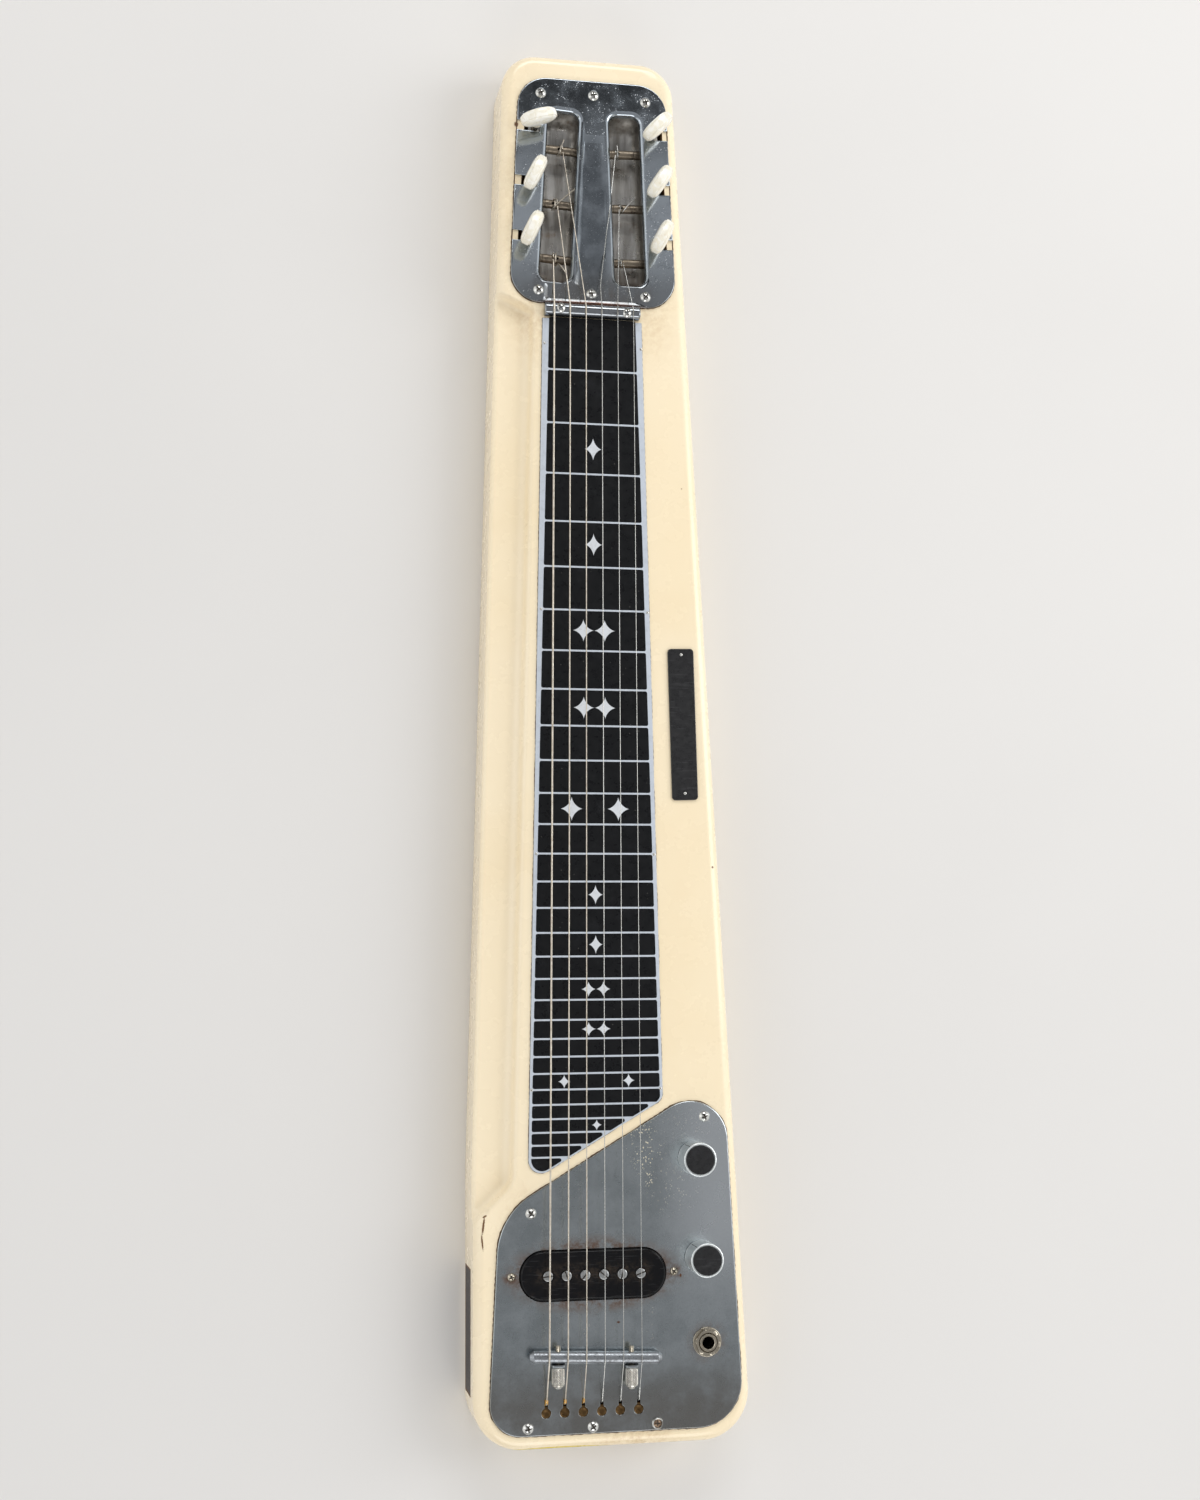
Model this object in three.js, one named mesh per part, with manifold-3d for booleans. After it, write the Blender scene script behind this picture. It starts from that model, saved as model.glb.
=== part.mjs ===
// A six-string lap steel guitar lying on its back, in millimetres.
// +X points to the treble side, +Y to the head and +Z up.
// Pieces are drawn from the nut line (y = 0) on the board's centre line (x = 0), with z = 0 at the back.
// The finished group is then moved so that its origin is the middle of its footprint.
import * as THREE from "three";
import { mergeVertices } from "three/addons/utils/BufferGeometryUtils.js";
import Module from "manifold-3d";

// Strings, from string 1 on the treble side to string 6
const bridgeFromNut = 568.7;
const stringSpacingAtNut = 9;
const stringSpacingAtBridge = 9.96;
const stringShiftAtBridge = -2.9;
const middleString = 3.5;
const stringDiameters = [0.33, 0.38, 0.46, 0.61, 0.76, 0.97];
const stringSides = 6;
const ballRadius = 1.9;
const ballLength = 3.2;
const ballDepth = 4.2;

// Body
const bodyThick = 38;
const headReach = 150.3;
const tailReach = 617.2;
const bassHalfAtHead = 49.9;
const bassHalfAtBend = 66.5;
const bassBendFromNut = 470;
const trebleHalfAtHead = 47.5;
const trebleHalfAtTail = 85.4;
const headCornerRadius = 19;
const tailCornerRadius = 26;
const topEdgeRadius = 6;
const backEdgeRadius = 3;
const leastColumnStep = 0.2;

// Ledge along the bass side
const ledgeDepth = 8;
const ledgeWallWidth = 9.7;
const ledgeCrestRadius = 3;
const ledgeLipRadius = 2.5;
const ledgeCornerRadius = 8;
const ledgeInsetAtHead = 22.9;
const ledgeInsetAtBend = 23.8;
const ledgeTopAtCrest = 1.4;
const ledgeFootAtCrest = -477.8;
const ledgeTopSlope = 0.49;
const ledgeFootSlope = 0.93;
const ledgeTopWallShare = 0.4;
const ledgeFootWallShare = 0.57;

// Clearances
const seat = 0.2;
const gap = 0.3;
const bearingGap = 0.3;
const holeSides = 8;
const overrun = 1;

// Fretboard
const boardThick = 0.8;
const boardCorners = [
  [-28.2, -3, 0],
  [-37.4, -478, 7],
  [36.7, -434.9, 6],
  [28.2, -3, 0],
];

// Nut
const nutLength = 54.4;
const nutShift = -0.4;
const nutFront = -2;
const nutBack = 4.9;
const nutHeight = 5.8;
const nutCrownRadius = 3;
const nutSlotDepth = 0.4;
const nutLeave = 3.4;

// Head plate
const headPlateThick = 1.2;
const headPlateFoot = 5.7;
const headPlateTop = 136;
const headPlateCentre = 0.7;
const headPlateHalfAtFoot = 47.6;
const headPlateHalfAtTop = 42.1;
const headPlateRadius = 17;
const plateScrewHole = 1.6;
const headScrewPlaces = [
  [-29, 126.9],
  [1.2, 127.6],
  [31.3, 125.9],
  [-30.5, 12.8],
  [-0.3, 12.3],
  [30.5, 12],
];
const pressDepth = 1;
const pressTop = 102.6;
const pressFoot = 17;
const pressHalf = 26.6;
const tongueLeftAtTop = -4.9;
const tongueRightAtTop = 6.6;
const tongueLeftAtFoot = -9.2;
const tongueRightAtFoot = 8.8;

// Wells in the head plate, and the side frames that carry the tuners
const wellHalfWidth = 11.2;
const wellLength = 103.5;
const wellShift = 1.6;
const wellRadius = 7.5;
const wellFlangeDrop = 3;
const wellFlangeThick = 1;
const sideCentreBass = 18.6;
const sideCentreTreble = 20.6;
const sideLeanBass = 0.058;
const sideLeanTreble = 0.033;
const sideMiddle = 66.2;
const postSpacing = 31.95;
const postDepth = 9;

// Tuner troughs
const troughHalfWidth = 11.5;
const troughWall = 1.2;
const troughLength = 86;
const troughShift = 2;
const troughBendRadius = 9;
const headPocketDepth = 20;
const headPocketOuter = 22;
const headPocketInner = 14;
const headPocketMargin = 2;
const headPocketRadius = 6;
const earThick = 1.2;
const earHalfWidth = 3.6;
const earReach = 3.4;
const earLowRoot = 10.6;

// Tuner posts, gears and worms
const gearTeeth = 15;
const gearPitchRadius = 5.7;
const toothAddendum = 0.7;
const toothDedendum = 1;
const toothHalfAtTip = 0.19;
const toothHalfAtRoot = 0.81;
const gearWidth = 3;
const postRadius = 2.5;
const postJournalRadius = 1.9;
const postTail = 0.8;
const postHoleRadius = 0.8;
const postSides = 12;
const wormPitchRadius = 2.4;
const wormTurns = 2.5;
const wormSteps = 8;
const shaftRadius = 1.6;
const shaftTail = 1.4;
const notchWidth = 5.6;
const notchInner = 13.2;

// Oval buttons
const buttonLength = 21;
const buttonHeight = 12.5;
const buttonThick = 8;
const buttonRise = 13;
const buttonSides = 14;
const buttonRoundShares = [
  [-1, 0.78],
  [-0.62, 1],
  [0.62, 1],
  [1, 0.78],
];
const buttonNeckRadius = 3;
const buttonNeckDrop = 2.2;
const buttonNeckRise = 3;
const buttonHoleDepth = 7;
const buttonTurns = [63, 57, 45, 18, 64, 65];

// String turns on the posts
const windingTurns = 1.75;
const windingGap = 0.5;
const windingSteps = 24;
const windingOff = 0.35;
const freeEnd = 3.4;
const postStringX = [19.1, 17.2, 15.3, -15.5, -18.7, -21];
const windingWays = [-1, 1, 1, 1, 1, -1];
const tongueBends = { 3: [[3.9, 16]] };
const ridgeBends = {
  3: [
    [8.3, 48.8],
    [9.9, 59.4],
  ],
  4: [
    [-8.2, 35.6],
    [-9, 42],
  ],
};

// Control plate
const controlPlateThick = 1.2;
const controlPlateCorners = [
  [-53.2, -494.2, 37],
  [70.9, -421.4, 21],
  [80.2, -609.3, 24],
  [-59, -609.3, 17],
];
const controlScrewPlaces = [
  [59.6, -444.6],
  [-36, -493.7],
  [-37.8, -605.1],
  [-2.8, -605.7],
  [32.1, -605.5],
];
const keyholeY = -597.7;
const keyholeRadius = 2.6;
const keySlotWidth = 1.8;
const keySlotEnd = -592.3;
const keySides = 12;

// Pickup
const pickupY = -526.5;
const pickupX = -2.4;
const pickupLength = 79.2;
const pickupWidth = 26;
const pickupRise = 1.6;
const pickupBevel = 1;
const pickupWall = 1.6;
const pickupCoverDepth = 15;
const pickupEarReach = 8;
const pickupEarWidth = 10;
const pickupEarThick = 1.5;
const pickupScrewReach = 44.2;
const pickupCavityMargin = 1.6;
const pickupCavityDepth = 19;
const poleSpacing = 10.07;
const poleX = -2;
const poleHeadRadius = 2.65;
const poleHeadHeight = 2.4;
const poleRise = 0.7;
const poleShankRadius = 1.4;
const poleShankLength = 14;
const poleSlotWidth = 0.7;
const poleSlotDepth = 0.7;
const poleSlotTurns = [20, 75, 140, 50, 110, 5];
const poleSides = 12;
const poleHoleGap = 0.35;
const coilEndInset = 5.6;
const coilLength = pickupLength - 2 * coilEndInset;
const coilWidth = 17;
const coilTop = 37.4;
const coilHeight = 6.5;
const magnetEndInset = 8.6;
const magnetLength = pickupLength - 2 * magnetEndInset;
const magnetWidth = 6;
const magnetHeight = 4;
const magnetAside = 5.4;

// Knobs and potentiometers
const knobPlaces = [
  [53.5, -466.2],
  [56.8, -519.2],
];
const knobRadius = 9;
const knobHeight = 14.4;
const knobLift = 0.8;
const knobChamfer = 0.5;
const knobRecess = 0.7;
const knobCapRadius = 7.75;
const knobCapThick = 0.9;
const knobHollowRadius = 6.9;
const knobHollowDepth = 4.6;
const knobSides = 20;
const potShaftRadius = 3;
const potShaftDrop = 8;
const potBushRadius = 4.7;
const potBushRise = 3.2;
const potCanRadius = 8;
const potCanHeight = 9;
const potBoreFoot = 1.6;
const potSides = 16;

// Jack
const jackPlace = [59.8, -564.3];
const jackBoreRadius = 3.25;
const jackBushRadius = 4.7;
const jackBushRise = 3.6;
const jackSleeveRadius = 6.4;
const jackSleeveFoot = 12;
const jackNutRadius = 7.4;
const jackNutSides = 6;
const jackNutThick = 2.2;
const jackWasherRadius = 7.9;
const jackWasherThick = 0.7;
const jackSides = 16;

// Bridge
const rodRadius = 3.45;
const rodLength = 71.5;
const rodX = -2.3;
const rodY = -568.65;
const rodTilt = 0.0434;
const rodAxisRise = 5.4;
const rodBevel = 2.2;
const rodBevelDrop = 1.5;
const rodSides = 24;
const rodGrooveDepth = 0.3;
const rodGrooveHalf = 0.85;
const rodArcSteps = 4;
const bridgeScrewPlaces = [-22.6, 17];
const bridgeScrewRadius = 1.4;
const bridgeScrewTip = 2.6;
const bridgeScrewSides = 12;
const bridgeHeadRadius = 3.55;
const bridgeHeadLength = 9.8;
const bridgeHeadChamfer = 0.9;
const bridgeDomeRadius = 2.3;
const bridgeDomeLength = 1.4;
const bridgeHeadSides = 16;
const bridgeEarThick = 1.2;
const bridgeEarWidth = 7;
const bridgeEarTop = 2.9;

// Cavities under the control plate
const cavityDepth = 29;
const cavityLeft = 40;
const cavityRight = 70.2;
const cavityTop = -450;
const cavityFoot = -583;
const cavityRadius = 8;
const anchorPocketDepth = 9;
const anchorPocketLeft = -34;
const anchorPocketRight = 28;
const anchorPocketFoot = -601;
const anchorPocketTop = -588.5;

// Badge plate and side pad
const badgePlace = [49.83, -229.9];
const badgeLength = 84.3;
const badgeWidth = 14.7;
const badgeThick = 1;
const badgeRadius = 2;
const badgeLean = 0.023;
const padTopFromTail = 93.2;
const padFootFromTail = 26.8;
const padTop = padTopFromTail - tailReach;
const padFoot = padFootFromTail - tailReach;
const padLow = 3.5;
const padHigh = 25;
const padThick = 1.2;

const arcSegments = 3;
const halfTurn = Math.PI;
const quarterTurn = halfTurn / 2;
const fullTurn = 2 * halfTurn;
const underPlates = bodyThick + seat;
const boardTop = underPlates + boardThick;
const headPlateFace = underPlates + headPlateThick;
const controlPlateFace = underPlates + controlPlateThick;
const aboveBody = bodyThick + overrun;
const aboveHeadPlate = headPlateFace + overrun;
const aboveControlPlate = controlPlateFace + overrun;
const belowPlates = bodyThick - overrun;

const wasm = await Module();
wasm.setup();

// Solids
function solid(shape) {
  if (typeof shape.numTri === "function") return shape;
  const bare = new THREE.BufferGeometry();
  bare.setAttribute("position", shape.getAttribute("position"));
  if (shape.index) bare.setIndex(shape.index);
  const merged = mergeVertices(bare, 1e-4);
  return new wasm.Manifold(
    new wasm.Mesh({
      numProp: 3,
      vertProperties: new Float32Array(merged.attributes.position.array),
      triVerts: new Uint32Array(merged.index.array),
    }),
  );
}

function cut(base, ...tools) {
  return tools.flat().reduce((left, tool) => left.subtract(solid(tool)), solid(base));
}

function join(...shapes) {
  return shapes.flat().map(solid).reduce((sum, shape) => sum.add(shape));
}

function asGeometry(shape) {
  if (shape.isBufferGeometry) return shape;
  const mesh = shape.getMesh();
  const geometry = new THREE.BufferGeometry();
  const positions = new Float32Array(mesh.vertProperties);
  geometry.setAttribute("position", new THREE.BufferAttribute(positions, mesh.numProp));
  geometry.setIndex(new THREE.BufferAttribute(new Uint32Array(mesh.triVerts), 1));
  geometry.computeVertexNormals();
  return geometry;
}

const guitar = new THREE.Group();

function piece(name, shape, material, parent = guitar) {
  const mesh = new THREE.Mesh(asGeometry(shape), material);
  mesh.name = name;
  parent.add(mesh);
  return mesh;
}

function finish(color, roughness, metalness) {
  return () => new THREE.MeshStandardMaterial({ color, roughness, metalness });
}

const cream = finish(0xf3e3c0, 0.35, 0);
const chrome = finish(0x8d949a, 0.15, 1);
const dullSteel = finish(0x7d8286, 0.4, 0.9);
const darkSteel = finish(0x4a4643, 0.45, 0.9);
const blackPlastic = finish(0x101012, 0.35, 0);
const boardBlack = finish(0x17181a, 0.4, 0);
const aluminium = finish(0xc4c8cc, 0.3, 1);
const nickel = finish(0xb5b0a6, 0.25, 1);
const pearl = finish(0xf1ede2, 0.25, 0);
const copper = finish(0x8a4b2c, 0.5, 0.3);
const iron = finish(0x3b3a3a, 0.6, 0.6);

// A closed surface through rings of equal count, each end closed by a fan round its middle.
function loft(rings) {
  const count = rings[0].length;
  const points = rings.flat();
  const index = [];
  for (let i = 0; i + 1 < rings.length; i += 1) {
    for (let k = 0; k < count; k += 1) {
      const a = i * count + k;
      const b = i * count + ((k + 1) % count);
      index.push(a, b, b + count, a, b + count, a + count);
    }
  }
  [0, rings.length - 1].forEach((end) => {
    const middle = points.length;
    const sum = rings[end].reduce((total, p) => total.add(p), new THREE.Vector3());
    points.push(sum.divideScalar(count));
    for (let k = 0; k < count; k += 1) {
      const a = end * count + k;
      const b = end * count + ((k + 1) % count);
      index.push(middle, ...(end === 0 ? [b, a] : [a, b]));
    }
  });
  const geometry = new THREE.BufferGeometry().setFromPoints(points);
  geometry.setIndex(index);
  return geometry;
}

// A round tube through points, its rings square to the route.
function tube(points, radius) {
  let across = new THREE.Vector3(1, 0, 0);
  const rings = points.map((point, i) => {
    const before = points[Math.max(i - 1, 0)];
    const after = points[Math.min(i + 1, points.length - 1)];
    const along = after.clone().sub(before).normalize();
    across = across.clone().addScaledVector(along, -across.dot(along)).normalize();
    const up = along.clone().cross(across);
    return Array.from({ length: stringSides }, (_, k) => {
      const turn = (fullTurn * k) / stringSides;
      const offset = across.clone().multiplyScalar(Math.cos(turn)).addScaledVector(up, Math.sin(turn));
      return point.clone().addScaledVector(offset, radius);
    });
  });
  return loft(rings);
}

// An outline with rounded corners from [x, y, radius].
function rounded(corners) {
  const shape = new THREE.Shape();
  const count = corners.length;
  corners.forEach(([x, y, radius], i) => {
    const corner = new THREE.Vector2(x, y);
    const [px, py] = corners[(i + count - 1) % count];
    const [nx, ny] = corners[(i + 1) % count];
    const back = new THREE.Vector2(px, py).sub(corner).normalize();
    const ahead = new THREE.Vector2(nx, ny).sub(corner).normalize();
    const half = Math.acos(THREE.MathUtils.clamp(back.dot(ahead), -1, 1)) / 2;
    const start = corner.clone().addScaledVector(back, radius / Math.tan(half));
    const end = corner.clone().addScaledVector(ahead, radius / Math.tan(half));
    const middle = back.clone().add(ahead).normalize();
    const centre = corner.clone().addScaledVector(middle, radius / Math.sin(half));
    if (i === 0) shape.moveTo(start.x, start.y);
    else shape.lineTo(start.x, start.y);
    if (radius > 0) {
      const from = Math.atan2(start.y - centre.y, start.x - centre.x);
      const to = Math.atan2(end.y - centre.y, end.x - centre.x);
      shape.absarc(centre.x, centre.y, radius, from, to, back.cross(ahead) > 0);
    }
  });
  shape.closePath();
  return shape;
}

function rectangle(left, foot, right, top, radius) {
  const corners = [
    [left, foot, radius],
    [right, foot, radius],
    [right, top, radius],
    [left, top, radius],
  ];
  return rounded(corners);
}

function stadium(x, y, length, width) {
  const [across, along] = [length / 2, width / 2];
  return rectangle(x - across, y - along, x + across, y + along, along - leastColumnStep);
}

// A flat outline raised from one height to another.
function prism(shape, from, to, curveSegments = arcSegments) {
  const settings = { depth: to - from, bevelEnabled: false, curveSegments };
  return new THREE.ExtrudeGeometry(shape, settings).translate(0, 0, from);
}

// A block between two corners.
function block(left, front, low, right, back, high) {
  const geometry = new THREE.BoxGeometry(right - left, back - front, high - low);
  return geometry.translate((left + right) / 2, (front + back) / 2, (low + high) / 2);
}

// A solid of revolution round Z from [radius, height] pairs that start and end on the axis.
function turned(profile, sides, x = 0, y = 0) {
  const points = profile.map(([radius, height]) => new THREE.Vector2(radius, height));
  return new THREE.LatheGeometry(points, sides).rotateX(quarterTurn).translate(x, y, 0);
}

function disc(radius, low, high, sides, x = 0, y = 0) {
  const profile = [
    [0, low],
    [radius, low],
    [radius, high],
    [0, high],
  ];
  return turned(profile, sides, x, y);
}

// A disc whose axis runs along Y
function rodAlongY(radius, from, to, sides, x, z) {
  return disc(radius, -to, -from, sides).rotateX(quarterTurn).translate(x, 0, z);
}

// Body outline: the bass and treble sides at y
function bassSide(y) {
  const share = Math.min((headReach - y) / (headReach + bassBendFromNut), 1);
  return -THREE.MathUtils.lerp(bassHalfAtHead, bassHalfAtBend, share);
}

function trebleSide(y) {
  const share = (headReach - y) / (headReach + tailReach);
  return THREE.MathUtils.lerp(trebleHalfAtHead, trebleHalfAtTail, share);
}

function roundedDistance(a, b, radius) {
  if (a >= radius || b >= radius) return Math.min(a, b);
  return radius - Math.hypot(radius - a, radius - b);
}

function insideDistance(x, y) {
  const bass = x - bassSide(y);
  const treble = trebleSide(y) - x;
  return Math.min(
    roundedDistance(bass, headReach - y, headCornerRadius),
    roundedDistance(treble, headReach - y, headCornerRadius),
    roundedDistance(bass, tailReach + y, tailCornerRadius),
    roundedDistance(treble, tailReach + y, tailCornerRadius),
  );
}

// How far a corner arc of this radius stands in from its side, at this distance into the arc
function arcInset(into, radius) {
  if (into <= 0) return 0;
  return radius - Math.sqrt(Math.max(radius ** 2 - into ** 2, 0));
}

function cornerPull(y) {
  const atHead = arcInset(y - headReach + headCornerRadius, headCornerRadius);
  const atTail = arcInset(-y - tailReach + tailCornerRadius, tailCornerRadius);
  return Math.max(atHead, atTail);
}

function edgeDrop(distance, radius) {
  return arcInset(radius - Math.max(distance, 0), radius);
}

// Ledge: the crest line where the plateau starts, and how far a point lies on the low side of it
function crestLine(y) {
  const share = (headReach - y) / (headReach + bassBendFromNut);
  return bassSide(y) + THREE.MathUtils.lerp(ledgeInsetAtHead, ledgeInsetAtBend, share);
}

function ledgeDistance(x, y) {
  const across = crestLine(y) - x;
  const topLine = ledgeTopAtCrest - ledgeTopSlope * (x - crestLine(ledgeTopAtCrest));
  const footLine = ledgeFootAtCrest + ledgeFootSlope * (x - crestLine(ledgeFootAtCrest));
  const below = (topLine - y) / Math.hypot(1, ledgeTopSlope) / ledgeTopWallShare;
  const above = (y - footLine) / Math.hypot(1, ledgeFootSlope) / ledgeFootWallShare;
  return Math.min(
    roundedDistance(across, below, ledgeCornerRadius),
    roundedDistance(across, above, ledgeCornerRadius),
  );
}

// The wall from crest to floor is a convex arc followed by a hollow one
const wallSweep = 2 * Math.atan(ledgeDepth / ledgeWallWidth);
const coveRadius = ledgeWallWidth / Math.sin(wallSweep) - ledgeCrestRadius;

function ledgeDrop(distance) {
  if (distance <= 0) return 0;
  if (distance >= ledgeWallWidth) return ledgeDepth;
  if (distance < ledgeCrestRadius * Math.sin(wallSweep)) {
    return ledgeCrestRadius - Math.sqrt(ledgeCrestRadius ** 2 - distance ** 2);
  }
  return ledgeDepth - coveRadius + Math.sqrt(coveRadius ** 2 - (ledgeWallWidth - distance) ** 2);
}

function topHeight(x, y) {
  const drop = ledgeDrop(ledgeDistance(x, y));
  const edge = THREE.MathUtils.lerp(topEdgeRadius, ledgeLipRadius, drop / ledgeDepth);
  return bodyThick - drop - edgeDrop(insideDistance(x, y), edge);
}

const roundShares = [0, 0.07, 0.29, 0.62, 1];
const wallShares = [1, 0.78, 0.56, 0.4, 0.3, 0.15, 0];
const backShares = [0, 0.29, 1];

// One section of the body at y, from the bass side over the top to the treble side and back underneath
function bodySection(y) {
  const left = bassSide(y) + cornerPull(y);
  const right = trebleSide(y) - cornerPull(y);
  const columns = roundShares.map((share) => left + share * topEdgeRadius);
  wallShares.forEach((share) => {
    const wanted = crestLine(y) - share * ledgeWallWidth;
    columns.push(Math.max(wanted, columns[columns.length - 1] + leastColumnStep));
  });
  columns.push(...roundShares.map((share) => right - share * topEdgeRadius).reverse());
  const top = columns.map((x) => new THREE.Vector3(x, y, topHeight(x, y)));
  const insets = backShares.map((share) => share * backEdgeRadius);
  const under = [...insets.map((inset) => right - inset), ...insets.map((inset) => left + inset).reverse()];
  const back = under.map((x) => new THREE.Vector3(x, y, edgeDrop(insideDistance(x, y), backEdgeRadius)));
  return [...top, ...back];
}

// Section places: closer together where an end, a corner or an end of the ledge curves
const cornerSteps = 6;
const ledgeSteps = 9;
const ledgeZone = 2.8 * ledgeWallWidth;
const ledgeZoneTop = ledgeTopAtCrest + ledgeZone / 2;
const ledgeZoneFoot = ledgeFootAtCrest + ledgeZone / 4;

function bodyStations() {
  const stations = [seat - bassBendFromNut];
  for (let i = 0; i <= cornerSteps; i += 1) {
    const bend = 1 - Math.cos((i / cornerSteps) * quarterTurn);
    stations.push(headReach - headCornerRadius * bend, tailCornerRadius * bend - tailReach);
  }
  for (let i = 0; i <= ledgeSteps; i += 1) {
    const share = i / ledgeSteps;
    stations.push(ledgeZoneTop - share * ledgeZone, ledgeZoneFoot - share * ledgeZone);
  }
  return stations.sort((a, b) => a - b);
}

// Side frames: x points outwards from the trough's middle line and y to the head, from the middle post
const postSteps = [1, 0, -1];
const sides = [
  { name: "left", sign: -1, centre: sideCentreBass, lean: sideLeanBass, strings: [4, 5, 6] },
  { name: "right", sign: 1, centre: sideCentreTreble, lean: sideLeanTreble, strings: [3, 2, 1] },
];

sides.forEach((side) => {
  side.group = new THREE.Group();
  side.group.scale.x = side.sign;
  side.group.rotation.z = side.sign * side.lean;
  side.group.position.set(side.sign * side.centre, sideMiddle, 0);
  side.group.updateMatrix();
  guitar.add(side.group);
});

// A shape drawn in a side frame, carried to the guitar's own frame
function fromSide(side, shape) {
  return solid(shape).transform(side.group.matrix.toArray());
}

const wormOffset = gearPitchRadius + wormPitchRadius;
const wormTipRadius = wormPitchRadius + toothAddendum;
const wormCoreRadius = wormPitchRadius - toothDedendum;
const postAxis = bodyThick - postDepth;
const troughOuter = troughHalfWidth + troughWall;
const troughFoot = bodyThick - headPocketDepth + seat;
const troughTop = headPlateFace - wellFlangeDrop - gap;
const troughStart = troughShift - troughLength / 2;
const shaftU = troughOuter + gap + wormTipRadius;
const gearLead = (fullTurn * gearPitchRadius) / gearTeeth;
const earLowTop = 2 * postAxis - troughTop + earThick;
const pocketStart = wellShift - wellLength / 2 - headPocketMargin;
const pocketEnd = wellShift + wellLength / 2 + headPocketMargin;

function wellOutline(grow) {
  const half = wellHalfWidth + grow;
  const reach = wellLength / 2 + grow;
  return rectangle(-half, wellShift - reach, half, wellShift + reach, wellRadius + grow);
}

function stringX(n, y) {
  const share = -y / bridgeFromNut;
  const spacing = THREE.MathUtils.lerp(stringSpacingAtNut, stringSpacingAtBridge, share);
  return share * stringShiftAtBridge + (middleString - n) * spacing;
}

const stringNumbers = stringDiameters.map((_, i) => i + 1);
const anchorX = (n) => stringX(n, keyholeY);

// Body
const pressedBand = rectangle(-pressHalf - gap, headPlateFoot - gap, pressHalf + gap, pressTop + gap, 0);
const bodyTools = sides.map((side) => {
  const pocket = rectangle(-headPocketInner, pocketStart, headPocketOuter, pocketEnd, headPocketRadius);
  return fromSide(side, prism(pocket, bodyThick - headPocketDepth, aboveBody));
});
const pickupCavity = stadium(
  pickupX,
  pickupY,
  pickupLength + 2 * (pickupEarReach + pickupCavityMargin),
  pickupWidth + 2 * pickupCavityMargin,
);
const potCavity = rectangle(cavityLeft, cavityFoot, cavityRight, cavityTop, cavityRadius);
const anchorPocket = rectangle(
  anchorPocketLeft,
  anchorPocketFoot,
  anchorPocketRight,
  anchorPocketTop,
  ballRadius,
);
const padSide = bassSide(padTop);
bodyTools.push(
  prism(pressedBand, bodyThick - pressDepth, aboveBody),
  prism(pickupCavity, bodyThick - pickupCavityDepth, aboveBody),
  prism(potCavity, bodyThick - cavityDepth, aboveBody),
  prism(anchorPocket, bodyThick - anchorPocketDepth, aboveBody),
  block(padSide - overrun, padFoot - gap, padLow - gap, padSide + padThick + seat, padTop + gap, padHigh + gap),
);
piece("body", cut(loft(bodyStations().map(bodySection)), bodyTools), cream());

const padShape = block(padSide, padFoot, padLow, padSide + padThick, padTop, padHigh);
piece("side_pad", padShape, iron());

// Head plate: a sheet with a band pressed down between and below the wells, whose rims turn down
function pressedOutline(grow) {
  const corners = [
    [-pressHalf - grow, headPlateFoot - overrun, 0],
    [pressHalf + grow, headPlateFoot - overrun, 0],
    [pressHalf + grow, pressFoot, 0],
    [tongueRightAtFoot + grow, pressFoot, 0],
    [tongueRightAtTop + grow, pressTop + grow, 0],
    [tongueLeftAtTop - grow, pressTop + grow, 0],
    [tongueLeftAtFoot - grow, pressFoot, 0],
    [-pressHalf - grow, pressFoot, 0],
  ];
  return rounded(corners);
}

const headPlateOutline = rounded([
  [headPlateCentre - headPlateHalfAtFoot, headPlateFoot, headPlateRadius],
  [headPlateCentre + headPlateHalfAtFoot, headPlateFoot, headPlateRadius],
  [headPlateCentre + headPlateHalfAtTop, headPlateTop, headPlateRadius],
  [headPlateCentre - headPlateHalfAtTop, headPlateTop, headPlateRadius],
]);

function makeHeadPlate() {
  const trayFace = headPlateFace - pressDepth;
  const flangeFoot = headPlateFace - wellFlangeDrop;
  const flangeTop = headPlateFace - headPlateThick / 2;
  const sheet = prism(headPlateOutline, underPlates, headPlateFace);
  const outline = solid(prism(headPlateOutline, flangeFoot, headPlateFace));
  const tray = solid(prism(pressedOutline(0), underPlates - pressDepth, trayFace)).intersect(outline);
  const dip = prism(pressedOutline(-headPlateThick / 2), trayFace, aboveHeadPlate);
  const flanges = sides.map((side) => fromSide(side, prism(wellOutline(wellFlangeThick), flangeFoot, flangeTop)));
  const wells = sides.map((side) => fromSide(side, prism(wellOutline(0), flangeFoot - overrun, aboveHeadPlate)));
  const notches = sides.flatMap((side) =>
    postSteps.map((step) => {
      const middle = step * postSpacing + wormOffset;
      const [from, to] = [middle - notchWidth / 2, middle + notchWidth / 2];
      return fromSide(side, block(notchInner, from, belowPlates, 2 * headPocketOuter, to, aboveHeadPlate));
    }),
  );
  const holes = headScrewPlaces.map(([x, y]) => disc(plateScrewHole, flangeFoot, aboveHeadPlate, holeSides, x, y));
  return cut(join(sheet, tray, flanges), dip, wells, notches, holes);
}

piece("head_plate", makeHeadPlate(), chrome());

// Fretboard, nut and badge plate
piece("fretboard", prism(rounded(boardCorners), underPlates, boardTop), boardBlack());

const nutTop = underPlates + nutHeight;
const nutSlotFloor = nutTop - nutSlotDepth;
const nutProfile = rounded([
  [nutFront, underPlates, 0],
  [nutBack, underPlates, 0],
  [nutBack, nutTop, nutCrownRadius],
  [nutFront, nutTop, nutCrownRadius],
]);
const nutBar = prism(nutProfile, nutShift - nutLength / 2, nutShift + nutLength / 2);
nutBar.rotateX(quarterTurn).rotateZ(quarterTurn);
const nutSlots = stringNumbers.map((n) => {
  const half = stringDiameters[n - 1] / 2 + gap;
  const x = stringX(n, 0);
  return block(x - half, nutFront - overrun, nutSlotFloor, x + half, nutBack + overrun, nutTop + overrun);
});
piece("nut", cut(nutBar, nutSlots), chrome());

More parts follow.
